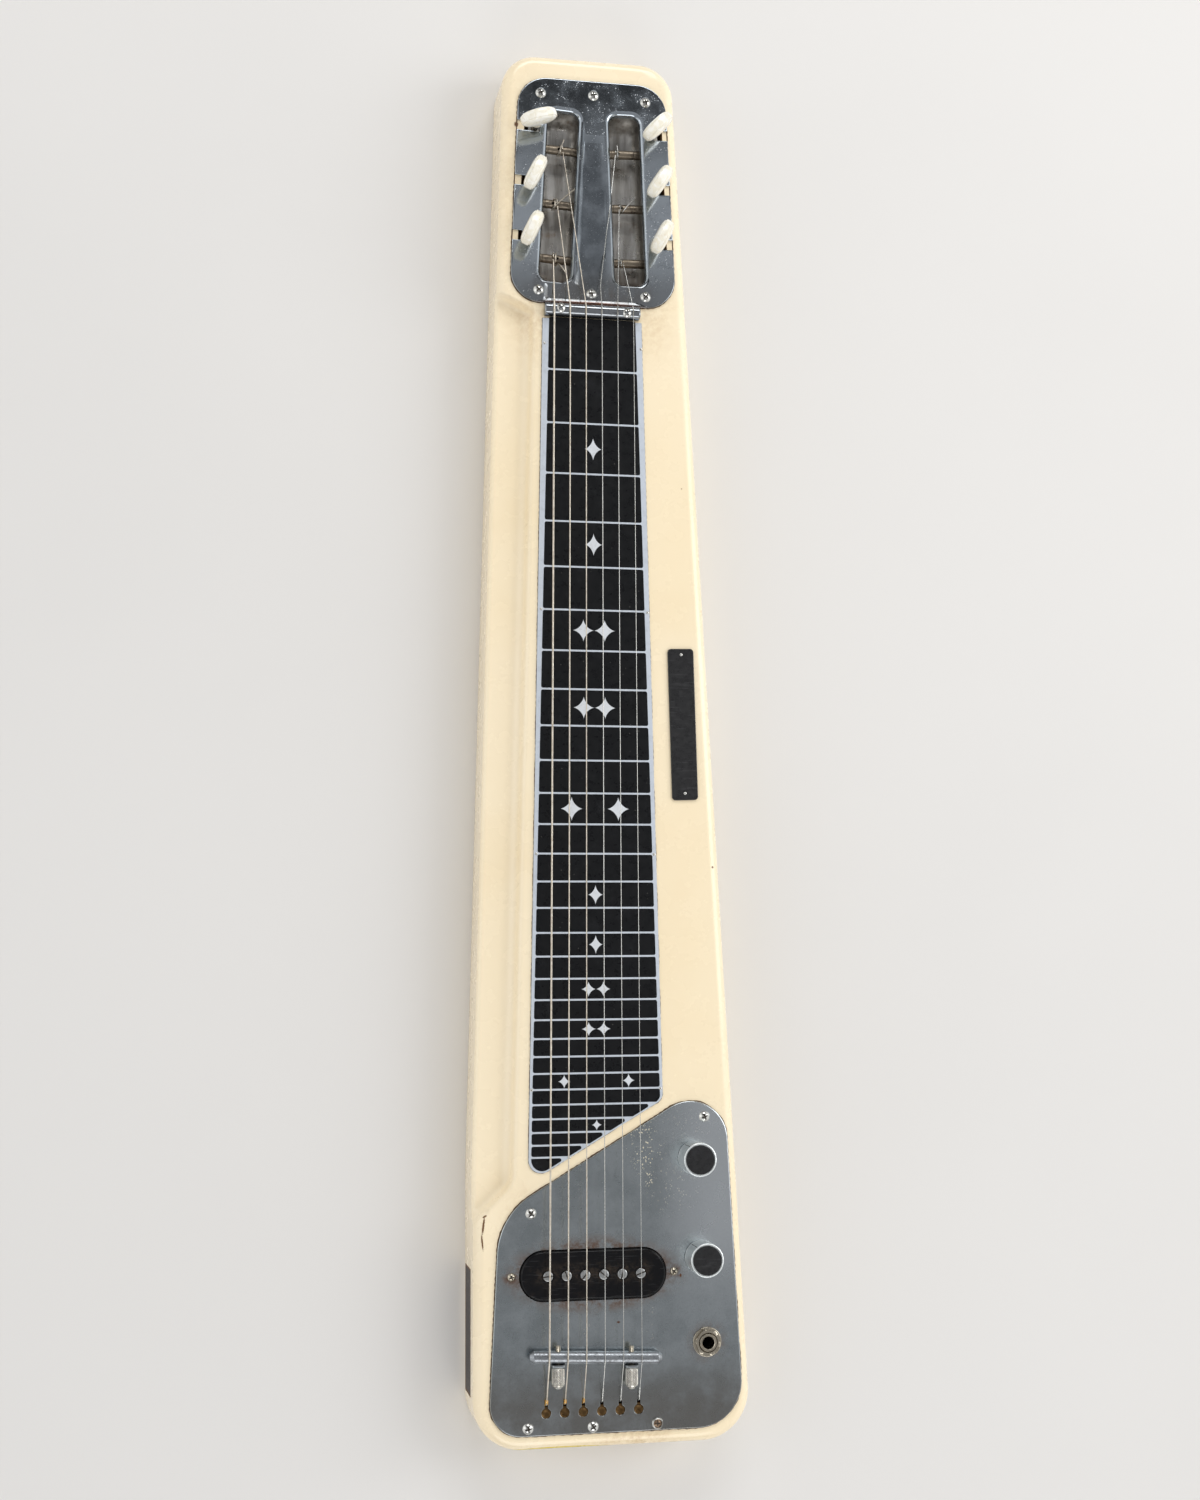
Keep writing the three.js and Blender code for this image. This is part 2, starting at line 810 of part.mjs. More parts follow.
const badgeOutline = rectangle(-badgeWidth / 2, -badgeLength / 2, badgeWidth / 2, badgeLength / 2, badgeRadius);
const badge = piece("badge_plate", prism(badgeOutline, 0, badgeThick), blackPlastic());
badge.position.set(...badgePlace, underPlates);
badge.rotation.z = badgeLean;

// Tuner troughs, posts, worms and buttons, drawn in each side frame
function makeTrough() {
  const profile = (half, foot, top, bend) =>
    rounded([
      [-half, foot, bend],
      [half, foot, bend],
      [half, top, 0],
      [-half, top, 0],
    ]);
  const outer = profile(troughOuter, troughFoot, troughTop, troughBendRadius);
  const innerBend = troughBendRadius - troughWall;
  const inner = profile(troughHalfWidth, troughFoot + troughWall, troughTop + overrun, innerBend);
  const along = (shape, from, to) => prism(shape, -to, -from).rotateX(quarterTurn);
  const shell = along(outer, troughStart, troughStart + troughLength);
  const hollow = along(inner, troughStart - overrun, troughStart + troughLength + overrun);
  const worms = postSteps.map((step) => step * postSpacing + wormOffset);
  const ear = (y, root, high) =>
    block(root, y - earHalfWidth, high - earThick, shaftU + earReach, y + earHalfWidth, high);
  const highRoot = troughHalfWidth + troughWall / 2;
  const ears = worms.flatMap((y) => [ear(y, highRoot, troughTop), ear(y, earLowRoot, earLowTop)]);
  const shaftHole = shaftRadius + bearingGap;
  const shaftHoles = worms.map((y) => disc(shaftHole, troughFoot, troughTop + overrun, holeSides, shaftU, y));
  const postHole = disc(postJournalRadius + bearingGap, -troughOuter - overrun, troughOuter + overrun, holeSides);
  const postHoles = postSteps.map((step) =>
    postHole.clone().rotateY(quarterTurn).translate(0, step * postSpacing, postAxis),
  );
  return cut(join(cut(shell, hollow), ears), shaftHoles, postHoles);
}

// Gear outline: each tooth has two root points and two tip points
const gearRootRadius = gearPitchRadius - toothDedendum;
const gearTipRadius = gearPitchRadius + toothAddendum;
const toothTurn = fullTurn / gearTeeth;
const toothCorners = [
  [gearRootRadius, -toothHalfAtRoot / gearRootRadius],
  [gearTipRadius, -toothHalfAtTip / gearTipRadius],
  [gearTipRadius, toothHalfAtTip / gearTipRadius],
  [gearRootRadius, toothHalfAtRoot / gearRootRadius],
];
const gearTwist = gearLead / (fullTurn * wormPitchRadius * gearPitchRadius);

function gearRing(u) {
  const ring = [];
  for (let i = 0; i < gearTeeth; i += 1) {
    const middle = i * toothTurn + toothTurn / 2 + gearTwist * u;
    toothCorners.forEach(([radius, turn]) => {
      const angle = middle + turn;
      ring.push(new THREE.Vector3(u, radius * Math.cos(angle), radius * Math.sin(angle)));
    });
  }
  return ring;
}

const gearShares = [-1, 1];

function makePost(holeU) {
  const rings = gearShares.map((share) => gearRing((share * gearWidth) / 2));
  const gear = loft(rings).translate(shaftU, 0, 0);
  const end = troughOuter + postTail;
  const gearEnd = shaftU + gearWidth / 2 + postTail;
  const shoulder = troughHalfWidth - gap;
  const profile = [
    [0, -end],
    [postJournalRadius, -end],
    [postJournalRadius, -shoulder],
    [postRadius, -shoulder],
    [postRadius, shoulder],
    [postJournalRadius, shoulder],
    [postJournalRadius, gearEnd],
    [0, gearEnd],
  ];
  const bar = turned(profile, postSides).rotateY(quarterTurn);
  const reach = postRadius + overrun;
  return cut(join(bar, gear), disc(postHoleRadius, -reach, reach, poleSides / 2, holeU));
}

// The worm's thread is one helical ridge, its middle on the gear's side at the height of the post
function makeWorm(top) {
  const steps = Math.round(wormTurns * wormSteps);
  const ridge = [];
  for (let i = 0; i <= steps; i += 1) {
    const turn = (i / wormSteps - wormTurns / 2) * fullTurn;
    const height = (turn / fullTurn) * gearLead;
    const angle = turn - quarterTurn;
    const at = (radius, z) => new THREE.Vector3(radius * Math.cos(angle), radius * Math.sin(angle), z);
    const root = wormCoreRadius - seat;
    ridge.push([
      at(root, height - toothHalfAtRoot),
      at(root, height + toothHalfAtRoot),
      at(wormTipRadius, height + toothHalfAtTip),
      at(wormTipRadius, height - toothHalfAtTip),
    ]);
  }
  const threadHalf = (wormTurns / 2) * gearLead + toothHalfAtRoot;
  const low = earLowTop - earThick - shaftTail - postAxis;
  const profile = [
    [0, low],
    [shaftRadius, low],
    [shaftRadius, -threadHalf],
    [wormCoreRadius, -threadHalf],
    [wormCoreRadius, threadHalf],
    [shaftRadius, threadHalf],
    [shaftRadius, top - postAxis],
    [0, top - postAxis],
  ];
  return join(turned(profile, postSides), loft(ridge));
}

const buttonMiddle = headPlateFace + buttonRise;
const buttonFoot = buttonMiddle - buttonHeight / 2 - buttonNeckDrop;
const shaftTop = buttonFoot + buttonHoleDepth - gap;

function makeButton() {
  const rings = buttonRoundShares.map(([across, share]) =>
    Array.from({ length: buttonSides }, (_, k) => {
      const turn = (fullTurn * k) / buttonSides;
      const inset = ((1 - share) * buttonHeight) / 2;
      const long = (buttonLength / 2 - inset) * Math.cos(turn);
      const high = (buttonHeight / 2 - inset) * -Math.sin(turn);
      return new THREE.Vector3(long, (across * buttonThick) / 2, high);
    }),
  );
  const neckTop = buttonNeckRise - buttonHeight / 2;
  const neck = disc(buttonNeckRadius, buttonFoot - buttonMiddle, neckTop, postSides);
  const holeTop = buttonFoot + buttonHoleDepth - buttonMiddle;
  return cut(join(loft(rings), neck), disc(shaftRadius + gap, -buttonHeight, holeTop, holeSides));
}

// String turns on a post: the route starts where the string meets the post from above
function windingReach(n) {
  return postRadius + gap + stringDiameters[n - 1] / 2;
}

function windingRoute(n, slope) {
  const diameter = stringDiameters[n - 1];
  const radius = windingReach(n);
  const pitch = diameter + windingGap;
  const steps = Math.round(windingTurns * windingSteps);
  const at = (turn) => {
    const angle = slope + turn;
    return new THREE.Vector3((turn / fullTurn) * pitch, radius * Math.sin(angle), radius * Math.cos(angle));
  };
  const straight = (turn, length) => {
    const ahead = new THREE.Vector3(0, Math.cos(slope + turn), -Math.sin(slope + turn));
    return at(turn).addScaledVector(ahead, length);
  };
  const points = [straight(0, -diameter)];
  for (let i = 0; i <= steps; i += 1) points.push(at((i / windingSteps) * fullTurn));
  points.push(straight(windingTurns * fullTurn, freeEnd));
  return points;
}

function leastSelfGap(points, diameter) {
  let least = Infinity;
  points.forEach((p, i) => {
    points.slice(i + windingSteps / 2).forEach((q) => {
      least = Math.min(least, p.distanceTo(q) - diameter);
    });
  });
  return least;
}

// A string leaves the nut and may bend where it crosses the plate's ridge beside a well
function nutToRidge(n) {
  const radius = stringDiameters[n - 1] / 2;
  const leave = new THREE.Vector3(stringX(n, 0), nutLeave, nutSlotFloor + gap + radius);
  const height = headPlateFace + gap + radius;
  const ridge = (ridgeBends[n] ?? []).map(([x, y]) => new THREE.Vector3(x, y, height));
  const tongue = (tongueBends[n] ?? []).map(([x, y]) => {
    const share = (y - leave.y) / (ridge[0].y - leave.y);
    return new THREE.Vector3(x, y, THREE.MathUtils.lerp(leave.z, height, share));
  });
  return [leave, ...tongue, ...ridge];
}

// How steeply each string comes down to its post, and its corners from the nut to where it stops
function headRun(n) {
  const side = sides.find((one) => one.strings.includes(n));
  const postY = postSteps[side.strings.indexOf(n)] * postSpacing;
  const diameter = stringDiameters[n - 1];
  const probe = new THREE.Vector3(postStringX[n - 1], sideMiddle + postY, postAxis);
  const u = probe.applyMatrix4(side.group.matrix.clone().invert()).x;
  const post = new THREE.Vector3(u, postY, postAxis).applyMatrix4(side.group.matrix);
  const corners = nutToRidge(n);
  const start = corners[corners.length - 1];
  const span = Math.hypot(post.x - start.x, post.y - start.y);
  const reach = Math.hypot(span, start.z - postAxis);
  const slope = Math.atan2(start.z - postAxis, span) - Math.asin(windingReach(n) / reach);
  const touch = span + windingReach(n) * Math.sin(slope);
  const outer = Math.hypot(diameter, windingReach(n) + diameter / 2) + windingOff;
  const back = Math.sqrt(outer ** 2 - (windingReach(n) - diameter / 2) ** 2);
  const stop = touch - back * Math.cos(slope);
  const end = start.clone().lerp(post, stop / span);
  end.z = start.z - stop * Math.tan(slope);
  return { u, postY, slope, corners: [...corners, end] };
}

const headRuns = stringNumbers.map(headRun);

sides.forEach((side) => {
  piece(`tuner_channel_${side.name}`, makeTrough(), darkSteel(), side.group);
  side.strings.forEach((n) => {
    const { u, postY, slope } = headRuns[n - 1];
    const diameter = stringDiameters[n - 1];
    const way = windingWays[n - 1];
    const holeU = u + way * windingTurns * (diameter + windingGap);
    const post = piece(`tuner_post_${n}`, makePost(holeU), darkSteel(), side.group);
    post.position.set(0, postY, postAxis);
    const worm = piece(`tuner_worm_${n}`, makeWorm(shaftTop), nickel(), side.group);
    worm.position.set(shaftU, postY + wormOffset, postAxis);
    const button = piece(`tuner_button_${n}`, makeButton(), pearl());
    button.position.set(shaftU, postY + wormOffset, buttonMiddle).applyMatrix4(side.group.matrix);
    button.rotation.z = THREE.MathUtils.degToRad(buttonTurns[n - 1]);
    const route = windingRoute(n, slope);
    console.log(`string_winding_${n}: least gap ${leastSelfGap(route, diameter).toFixed(3)} mm`);
    route.forEach((p) => p.setX(way * p.x));
    const winding = piece(`string_winding_${n}`, tube(route, diameter / 2), nickel(), side.group);
    winding.position.set(u, postY, postAxis);
  });
});

// Control plate, with two ears folded up behind the bridge
const rodAxis = controlPlateFace + rodAxisRise;
const rodYAt = (x) => rodY - rodTilt * (x - rodX);
const earFront = (x) => rodYAt(x) - rodRadius - gap;
const pickupHole = stadium(pickupX, pickupY, pickupLength + 2 * gap, pickupWidth + 2 * gap);
const pickupScrewPlaces = [-1, 1].map((way) => [pickupX + way * pickupScrewReach, pickupY]);

function makeControlPlate() {
  const through = [belowPlates, aboveControlPlate];
  const sheet = prism(rounded(controlPlateCorners), underPlates, controlPlateFace);
  const ears = bridgeScrewPlaces.map((x) => {
    const half = bridgeEarWidth / 2;
    const back = earFront(x);
    return block(x - half, back - bridgeEarThick, underPlates, x + half, back, rodAxis + bridgeEarTop);
  });
  const screwHoles = [...controlScrewPlaces, ...pickupScrewPlaces].map(([x, y]) =>
    disc(plateScrewHole, ...through, holeSides, x, y),
  );
  const controlHoles = [...knobPlaces, jackPlace].map(([x, y]) =>
    disc(potBushRadius + gap, ...through, potSides, x, y),
  );
  const keyholes = stringNumbers.flatMap((n) => {
    const [x, half] = [anchorX(n), keySlotWidth / 2];
    const slot = block(x - half, keyholeY, through[0], x + half, keySlotEnd, through[1]);
    return [disc(keyholeRadius, ...through, keySides, x, keyholeY), slot];
  });
  const earHoles = bridgeScrewPlaces.map((x) => {
    const from = earFront(x) - bridgeEarThick - overrun;
    return rodAlongY(bridgeScrewRadius + gap, from, earFront(x) + overrun, bridgeScrewSides, x, rodAxis);
  });
  const opening = prism(pickupHole, ...through, 2 * arcSegments);
  return cut(join(sheet, ears), opening, screwHoles, controlHoles, keyholes, earHoles);
}

piece("control_plate", makeControlPlate(), dullSteel());

// Pickup
const coverTop = controlPlateFace + pickupRise;
const coverFoot = bodyThick - pickupCoverDepth;
const poleXs = stringNumbers.map((n) => poleX + (middleString - n) * poleSpacing);
const coverSteps = 2 * arcSegments;

function stadiumRing(inset, z) {
  const shape = stadium(pickupX, pickupY, pickupLength - 2 * inset, pickupWidth - 2 * inset);
  const points = shape.extractPoints(coverSteps).shape;
  if (points[0].distanceTo(points[points.length - 1]) < leastColumnStep) points.pop();
  return points.map((p) => new THREE.Vector3(p.x, p.y, z));
}

function makePickupCover() {
  const outer = loft([
    stadiumRing(0, coverFoot),
    stadiumRing(0, coverTop - pickupBevel),
    stadiumRing(pickupBevel, coverTop),
  ]);
  const inner = stadium(pickupX, pickupY, pickupLength - 2 * pickupWall, pickupWidth - 2 * pickupWall);
  const hollow = prism(inner, coverFoot - overrun, coverTop - pickupWall, coverSteps);
  const earTop = underPlates - gap;
  const [front, back] = [pickupY - pickupEarWidth / 2, pickupY + pickupEarWidth / 2];
  const ears = [-1, 1].map((way) => {
    const root = pickupX + way * (pickupLength / 2 - pickupEarWidth / 2);
    const end = pickupX + way * (pickupLength / 2 + pickupEarReach);
    return block(Math.min(root, end), front, earTop - pickupEarThick, Math.max(root, end), back, earTop);
  });
  const earHoles = pickupScrewPlaces.map(([x, y]) =>
    disc(poleShankRadius, earTop - pickupEarThick - overrun, earTop + overrun, holeSides, x, y),
  );
  const poleHoles = poleXs.map((x) =>
    disc(poleHeadRadius + poleHoleGap, coverFoot, coverTop + overrun, keySides, x, pickupY),
  );
  return cut(join(outer, ears), hollow, earHoles, poleHoles);
}

piece("pickup_cover", makePickupCover(), blackPlastic());

const coilFoot = coilTop - coilHeight;
const coilHoles = poleXs.map((x) =>
  disc(poleShankRadius + gap, coilFoot - overrun, coilTop + overrun, holeSides, x, pickupY),
);
const coilBlock = prism(stadium(pickupX, pickupY, coilLength, coilWidth), coilFoot, coilTop);
piece("pickup_coil", cut(coilBlock, coilHoles), copper());

const magnetTop = coilFoot - seat / 2;
const magnetBlock = block(
  pickupX - magnetLength / 2,
  pickupY + magnetAside - magnetWidth / 2,
  magnetTop - magnetHeight,
  pickupX + magnetLength / 2,
  pickupY + magnetAside + magnetWidth / 2,
  magnetTop,
);
piece("pickup_magnet", magnetBlock, iron());

const poleEnd = -poleHeadHeight - poleShankLength;
const poleProfile = [
  [0, poleEnd],
  [poleShankRadius, poleEnd],
  [poleShankRadius, -poleHeadHeight],
  [poleHeadRadius, -poleHeadHeight],
  [poleHeadRadius, 0],
  [0, 0],
];
stringNumbers.forEach((n) => {
  const half = poleSlotWidth / 2;
  const reach = poleHeadRadius + overrun;
  const slot = block(-half, -reach, -poleSlotDepth, half, reach, overrun);
  slot.rotateZ(THREE.MathUtils.degToRad(poleSlotTurns[n - 1]));
  const screw = piece(`pole_screw_${n}`, cut(turned(poleProfile, poleSides), slot), nickel());
  screw.position.set(poleXs[n - 1], pickupY, coverTop + poleRise);
});

// Bridge rod, bevelled at both ends and grooved for the strings, and its two knurled screws
const rodEnd = rodLength / 2;
const rodProfile = [
  [0, -rodEnd],
  [rodRadius - rodBevelDrop, -rodEnd],
  [rodRadius, rodBevel - rodEnd],
  [rodRadius, rodEnd - rodBevel],
  [rodRadius - rodBevelDrop, rodEnd],
  [0, rodEnd],
];
const rodBar = turned(rodProfile, rodSides).rotateY(quarterTurn);
rodBar.rotateZ(-rodTilt).translate(rodX, rodY, rodAxis);
const rodGrooves = stringNumbers.map((n) => {
  const x = stringX(n, -bridgeFromNut);
  const [front, back] = [rodYAt(x) - rodRadius, rodYAt(x) + rodRadius];
  const floor = rodAxis + rodRadius - rodGrooveDepth;
  return block(x - rodGrooveHalf, front, floor, x + rodGrooveHalf, back, floor + overrun);
});
const rodHoles = bridgeScrewPlaces.map((x) => {
  const [front, back] = [rodYAt(x) - 2 * rodRadius, rodYAt(x) + 2 * rodRadius];
  return rodAlongY(bridgeScrewRadius + gap, front, back, bridgeScrewSides, x, rodAxis);
});
piece("bridge_rod", cut(rodBar, rodGrooves, rodHoles), aluminium());

["left", "right"].forEach((name, i) => {
  const x = bridgeScrewPlaces[i];
  const tip = -rodYAt(x) - rodRadius - bridgeScrewTip;
  const headStart = bridgeEarThick + gap - earFront(x);
  const headEnd = headStart + bridgeHeadLength;
  const profile = [
    [0, tip],
    [bridgeScrewRadius, tip],
    [bridgeScrewRadius, headStart],
    [bridgeHeadRadius, headStart],
    [bridgeHeadRadius, headEnd - bridgeHeadChamfer],
    [bridgeHeadRadius - bridgeHeadChamfer, headEnd],
    [bridgeDomeRadius, headEnd],
    [bridgeDomeRadius / 2, headEnd + bridgeDomeLength],
    [0, headEnd + bridgeDomeLength],
  ];
  const shape = turned(profile, bridgeHeadSides).rotateX(quarterTurn);
  const screw = piece(`bridge_screw_${name}`, shape, nickel());
  screw.position.set(x, 0, rodAxis);
});

// Potentiometers, knobs and their inserts
const canTop = underPlates - 2 * gap;
const canFoot = canTop - potCanHeight;
const knobFoot = controlPlateFace + knobLift;
const knobTop = knobFoot + knobHeight;
const knobHollowTop = knobFoot + knobHollowDepth;
const recessFoot = knobTop - knobRecess;
const recessRadius = knobCapRadius + gap;
const capFoot = recessFoot + seat / 2;
const shaftEnd = controlPlateFace - potShaftDrop;
const knobProfile = [
  [0, shaftEnd],
  [potShaftRadius, shaftEnd],
  [potShaftRadius, knobHollowTop],
  [knobHollowRadius, knobHollowTop],
  [knobHollowRadius, knobFoot],
  [knobRadius, knobFoot],
  [knobRadius, knobTop - knobChamfer],
  [knobRadius - knobChamfer, knobTop],
  [recessRadius, knobTop],
  [recessRadius, recessFoot],
  [0, recessFoot],
];

["volume", "tone"].forEach((name, i) => {
  const can = disc(potCanRadius, canFoot, canTop, potSides);
  const bush = disc(potBushRadius, canTop - overrun, controlPlateFace + potBushRise, potSides);
  const bore = disc(potShaftRadius + bearingGap, canFoot + potBoreFoot, knobFoot + knobHeight, knobSides);
  const cap = disc(knobCapRadius, capFoot, capFoot + knobCapThick, knobSides);
  [
    piece(`${name}_pot`, cut(join(can, bush), bore), dullSteel()),
    piece(`${name}_knob`, turned(knobProfile, knobSides), aluminium()),
    piece(`${name}_knob_cap`, cap, blackPlastic()),
  ].forEach((mesh) => mesh.position.set(...knobPlaces[i], 0));
});

// Jack socket, and its nut with the washer
const bushTop = controlPlateFace + jackBushRise;
const washerFoot = controlPlateFace + seat / 2;
const hexagonFoot = washerFoot + jackWasherThick;
const sleeve = disc(jackSleeveRadius, jackSleeveFoot, canTop, jackSides);
const jackBush = disc(jackBushRadius, canTop - overrun, bushTop, jackSides);
const jackBore = disc(jackBoreRadius, jackSleeveFoot - overrun, bushTop + overrun, jackSides);
const washer = disc(jackWasherRadius, washerFoot, hexagonFoot, jackSides);
const hexagon = disc(jackNutRadius, hexagonFoot - seat, hexagonFoot + jackNutThick, jackNutSides);
const nutBore = disc(jackBushRadius + gap, washerFoot - overrun, bushTop + overrun, jackSides);
[
  piece("jack_socket", cut(join(sleeve, jackBush), jackBore), nickel()),
  piece("jack_nut", cut(join(washer, hexagon), nutBore), nickel()),
].forEach((mesh) => mesh.position.set(...jackPlace, 0));

// Strings, each one body with its ball end: up through the slot, over the rod and the nut, down to a post
function stringRoute(n) {
  const radius = stringDiameters[n - 1] / 2;
  const tailX = anchorX(n);
  const riseY = keySlotEnd - 2 * gap - radius;
  const ballMiddle = underPlates - ballDepth;
  const leaveY = keySlotEnd - gap;
  const leaveZ = controlPlateFace + 2 * gap + radius;
  const points = [
    new THREE.Vector3(tailX, riseY - radius, ballMiddle),
    new THREE.Vector3(tailX, riseY, ballMiddle + ballRadius),
    new THREE.Vector3(tailX, riseY, controlPlateFace),
    new THREE.Vector3(tailX, leaveY, leaveZ),
  ];
  const bridgeX = stringX(n, -bridgeFromNut);
  const over = rodRadius + seat + radius;
  const [backY, backZ] = [leaveY - rodYAt(bridgeX), leaveZ - rodAxis];
  const from = Math.atan2(backZ, backY) + fullTurn - Math.acos(over / Math.hypot(backY, backZ));
  const nutZ = nutSlotFloor + gap + radius;
  const to = quarterTurn - Math.atan((rodAxis + over - nutZ) / bridgeFromNut);
  for (let i = 0; i <= rodArcSteps; i += 1) {
    const turn = THREE.MathUtils.lerp(from, to, i / rodArcSteps);
    const y = rodYAt(bridgeX) + over * Math.cos(turn);
    points.push(new THREE.Vector3(bridgeX, y, rodAxis + over * Math.sin(turn)));
  }
  points.push(new THREE.Vector3(stringX(n, 0), nutFront + nutCrownRadius / 2, nutZ));
  points.push(...headRuns[n - 1].corners);
  return points;
}

stringNumbers.forEach((n) => {
  const route = stringRoute(n);
  const ball = disc(ballRadius, -ballLength / 2, ballLength / 2, postSides).rotateY(quarterTurn);
  ball.translate(route[0].x, route[0].y, route[0].z);
  piece(`string_${n}`, join(ball, tube(route, stringDiameters[n - 1] / 2)), nickel());
});

// The origin is the middle of the footprint, at the back
const root = new THREE.Group();
root.add(guitar);
const bounds = new THREE.Box3().setFromObject(guitar);
const footprintMiddle = bounds.getCenter(new THREE.Vector3());
guitar.position.set(-footprintMiddle.x, -footprintMiddle.y, 0);

export default root;
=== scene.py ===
"""Looks of the lap steel guitar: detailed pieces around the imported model, materials, light and camera.

Shapes are drawn in millimetres from the nut line and the board's centre line, with z = 0 at the back.
place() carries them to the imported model's frame, in metres.
"""

import math

import bmesh
import bpy
import numpy as np
from mathutils import Matrix, Vector
from mathutils.geometry import delaunay_2d_cdt


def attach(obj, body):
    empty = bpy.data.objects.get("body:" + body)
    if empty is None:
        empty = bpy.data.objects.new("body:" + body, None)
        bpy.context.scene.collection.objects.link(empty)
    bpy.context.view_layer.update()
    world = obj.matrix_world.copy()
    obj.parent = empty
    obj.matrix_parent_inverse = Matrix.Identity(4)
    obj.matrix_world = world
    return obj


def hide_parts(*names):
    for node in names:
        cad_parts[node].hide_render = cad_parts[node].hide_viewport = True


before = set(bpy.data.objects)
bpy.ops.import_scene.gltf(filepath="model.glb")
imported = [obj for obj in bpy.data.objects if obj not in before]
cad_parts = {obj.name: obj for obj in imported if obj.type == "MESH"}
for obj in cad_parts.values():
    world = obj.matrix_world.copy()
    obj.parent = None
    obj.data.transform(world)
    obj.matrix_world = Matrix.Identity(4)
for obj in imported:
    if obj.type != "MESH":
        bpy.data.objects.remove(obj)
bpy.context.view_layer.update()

MM = 0.001
SHIFT_X, SHIFT_Y = -8.80804, 233.45
PI = math.pi

# Places and heights that several pieces share, in drawing millimetres
PLATE_BACK = 38.2
SCALE_LENGTH = 571.5
BRIDGE_REACH = 568.7
PICKUP_Y, POLE_STEP = -526.5, 10.07
KEYHOLE_Y = -597.7
HEAD_MIDDLE = 66.2
ROD_X, ROD_Y, ROD_LEAN, ROD_RADIUS = -2.3, -568.65, 0.0434, 3.45


def place(p):
    return ((p[0] + SHIFT_X) * MM, (p[1] + SHIFT_Y) * MM, p[2] * MM)


def pole_x(n):
    """The sideways place of a pole screw under string n."""
    return -2 + (3.5 - n) * POLE_STEP


def lerp(a, b, t):
    return a + (b - a) * t


def smooth(t):
    t = min(max(t, 0.0), 1.0)
    return t * t * (3 - 2 * t)


def arc_inset(into, radius):
    if into <= 0:
        return 0.0
    return radius - math.sqrt(max(radius * radius - into * into, 0.0))


# Materials


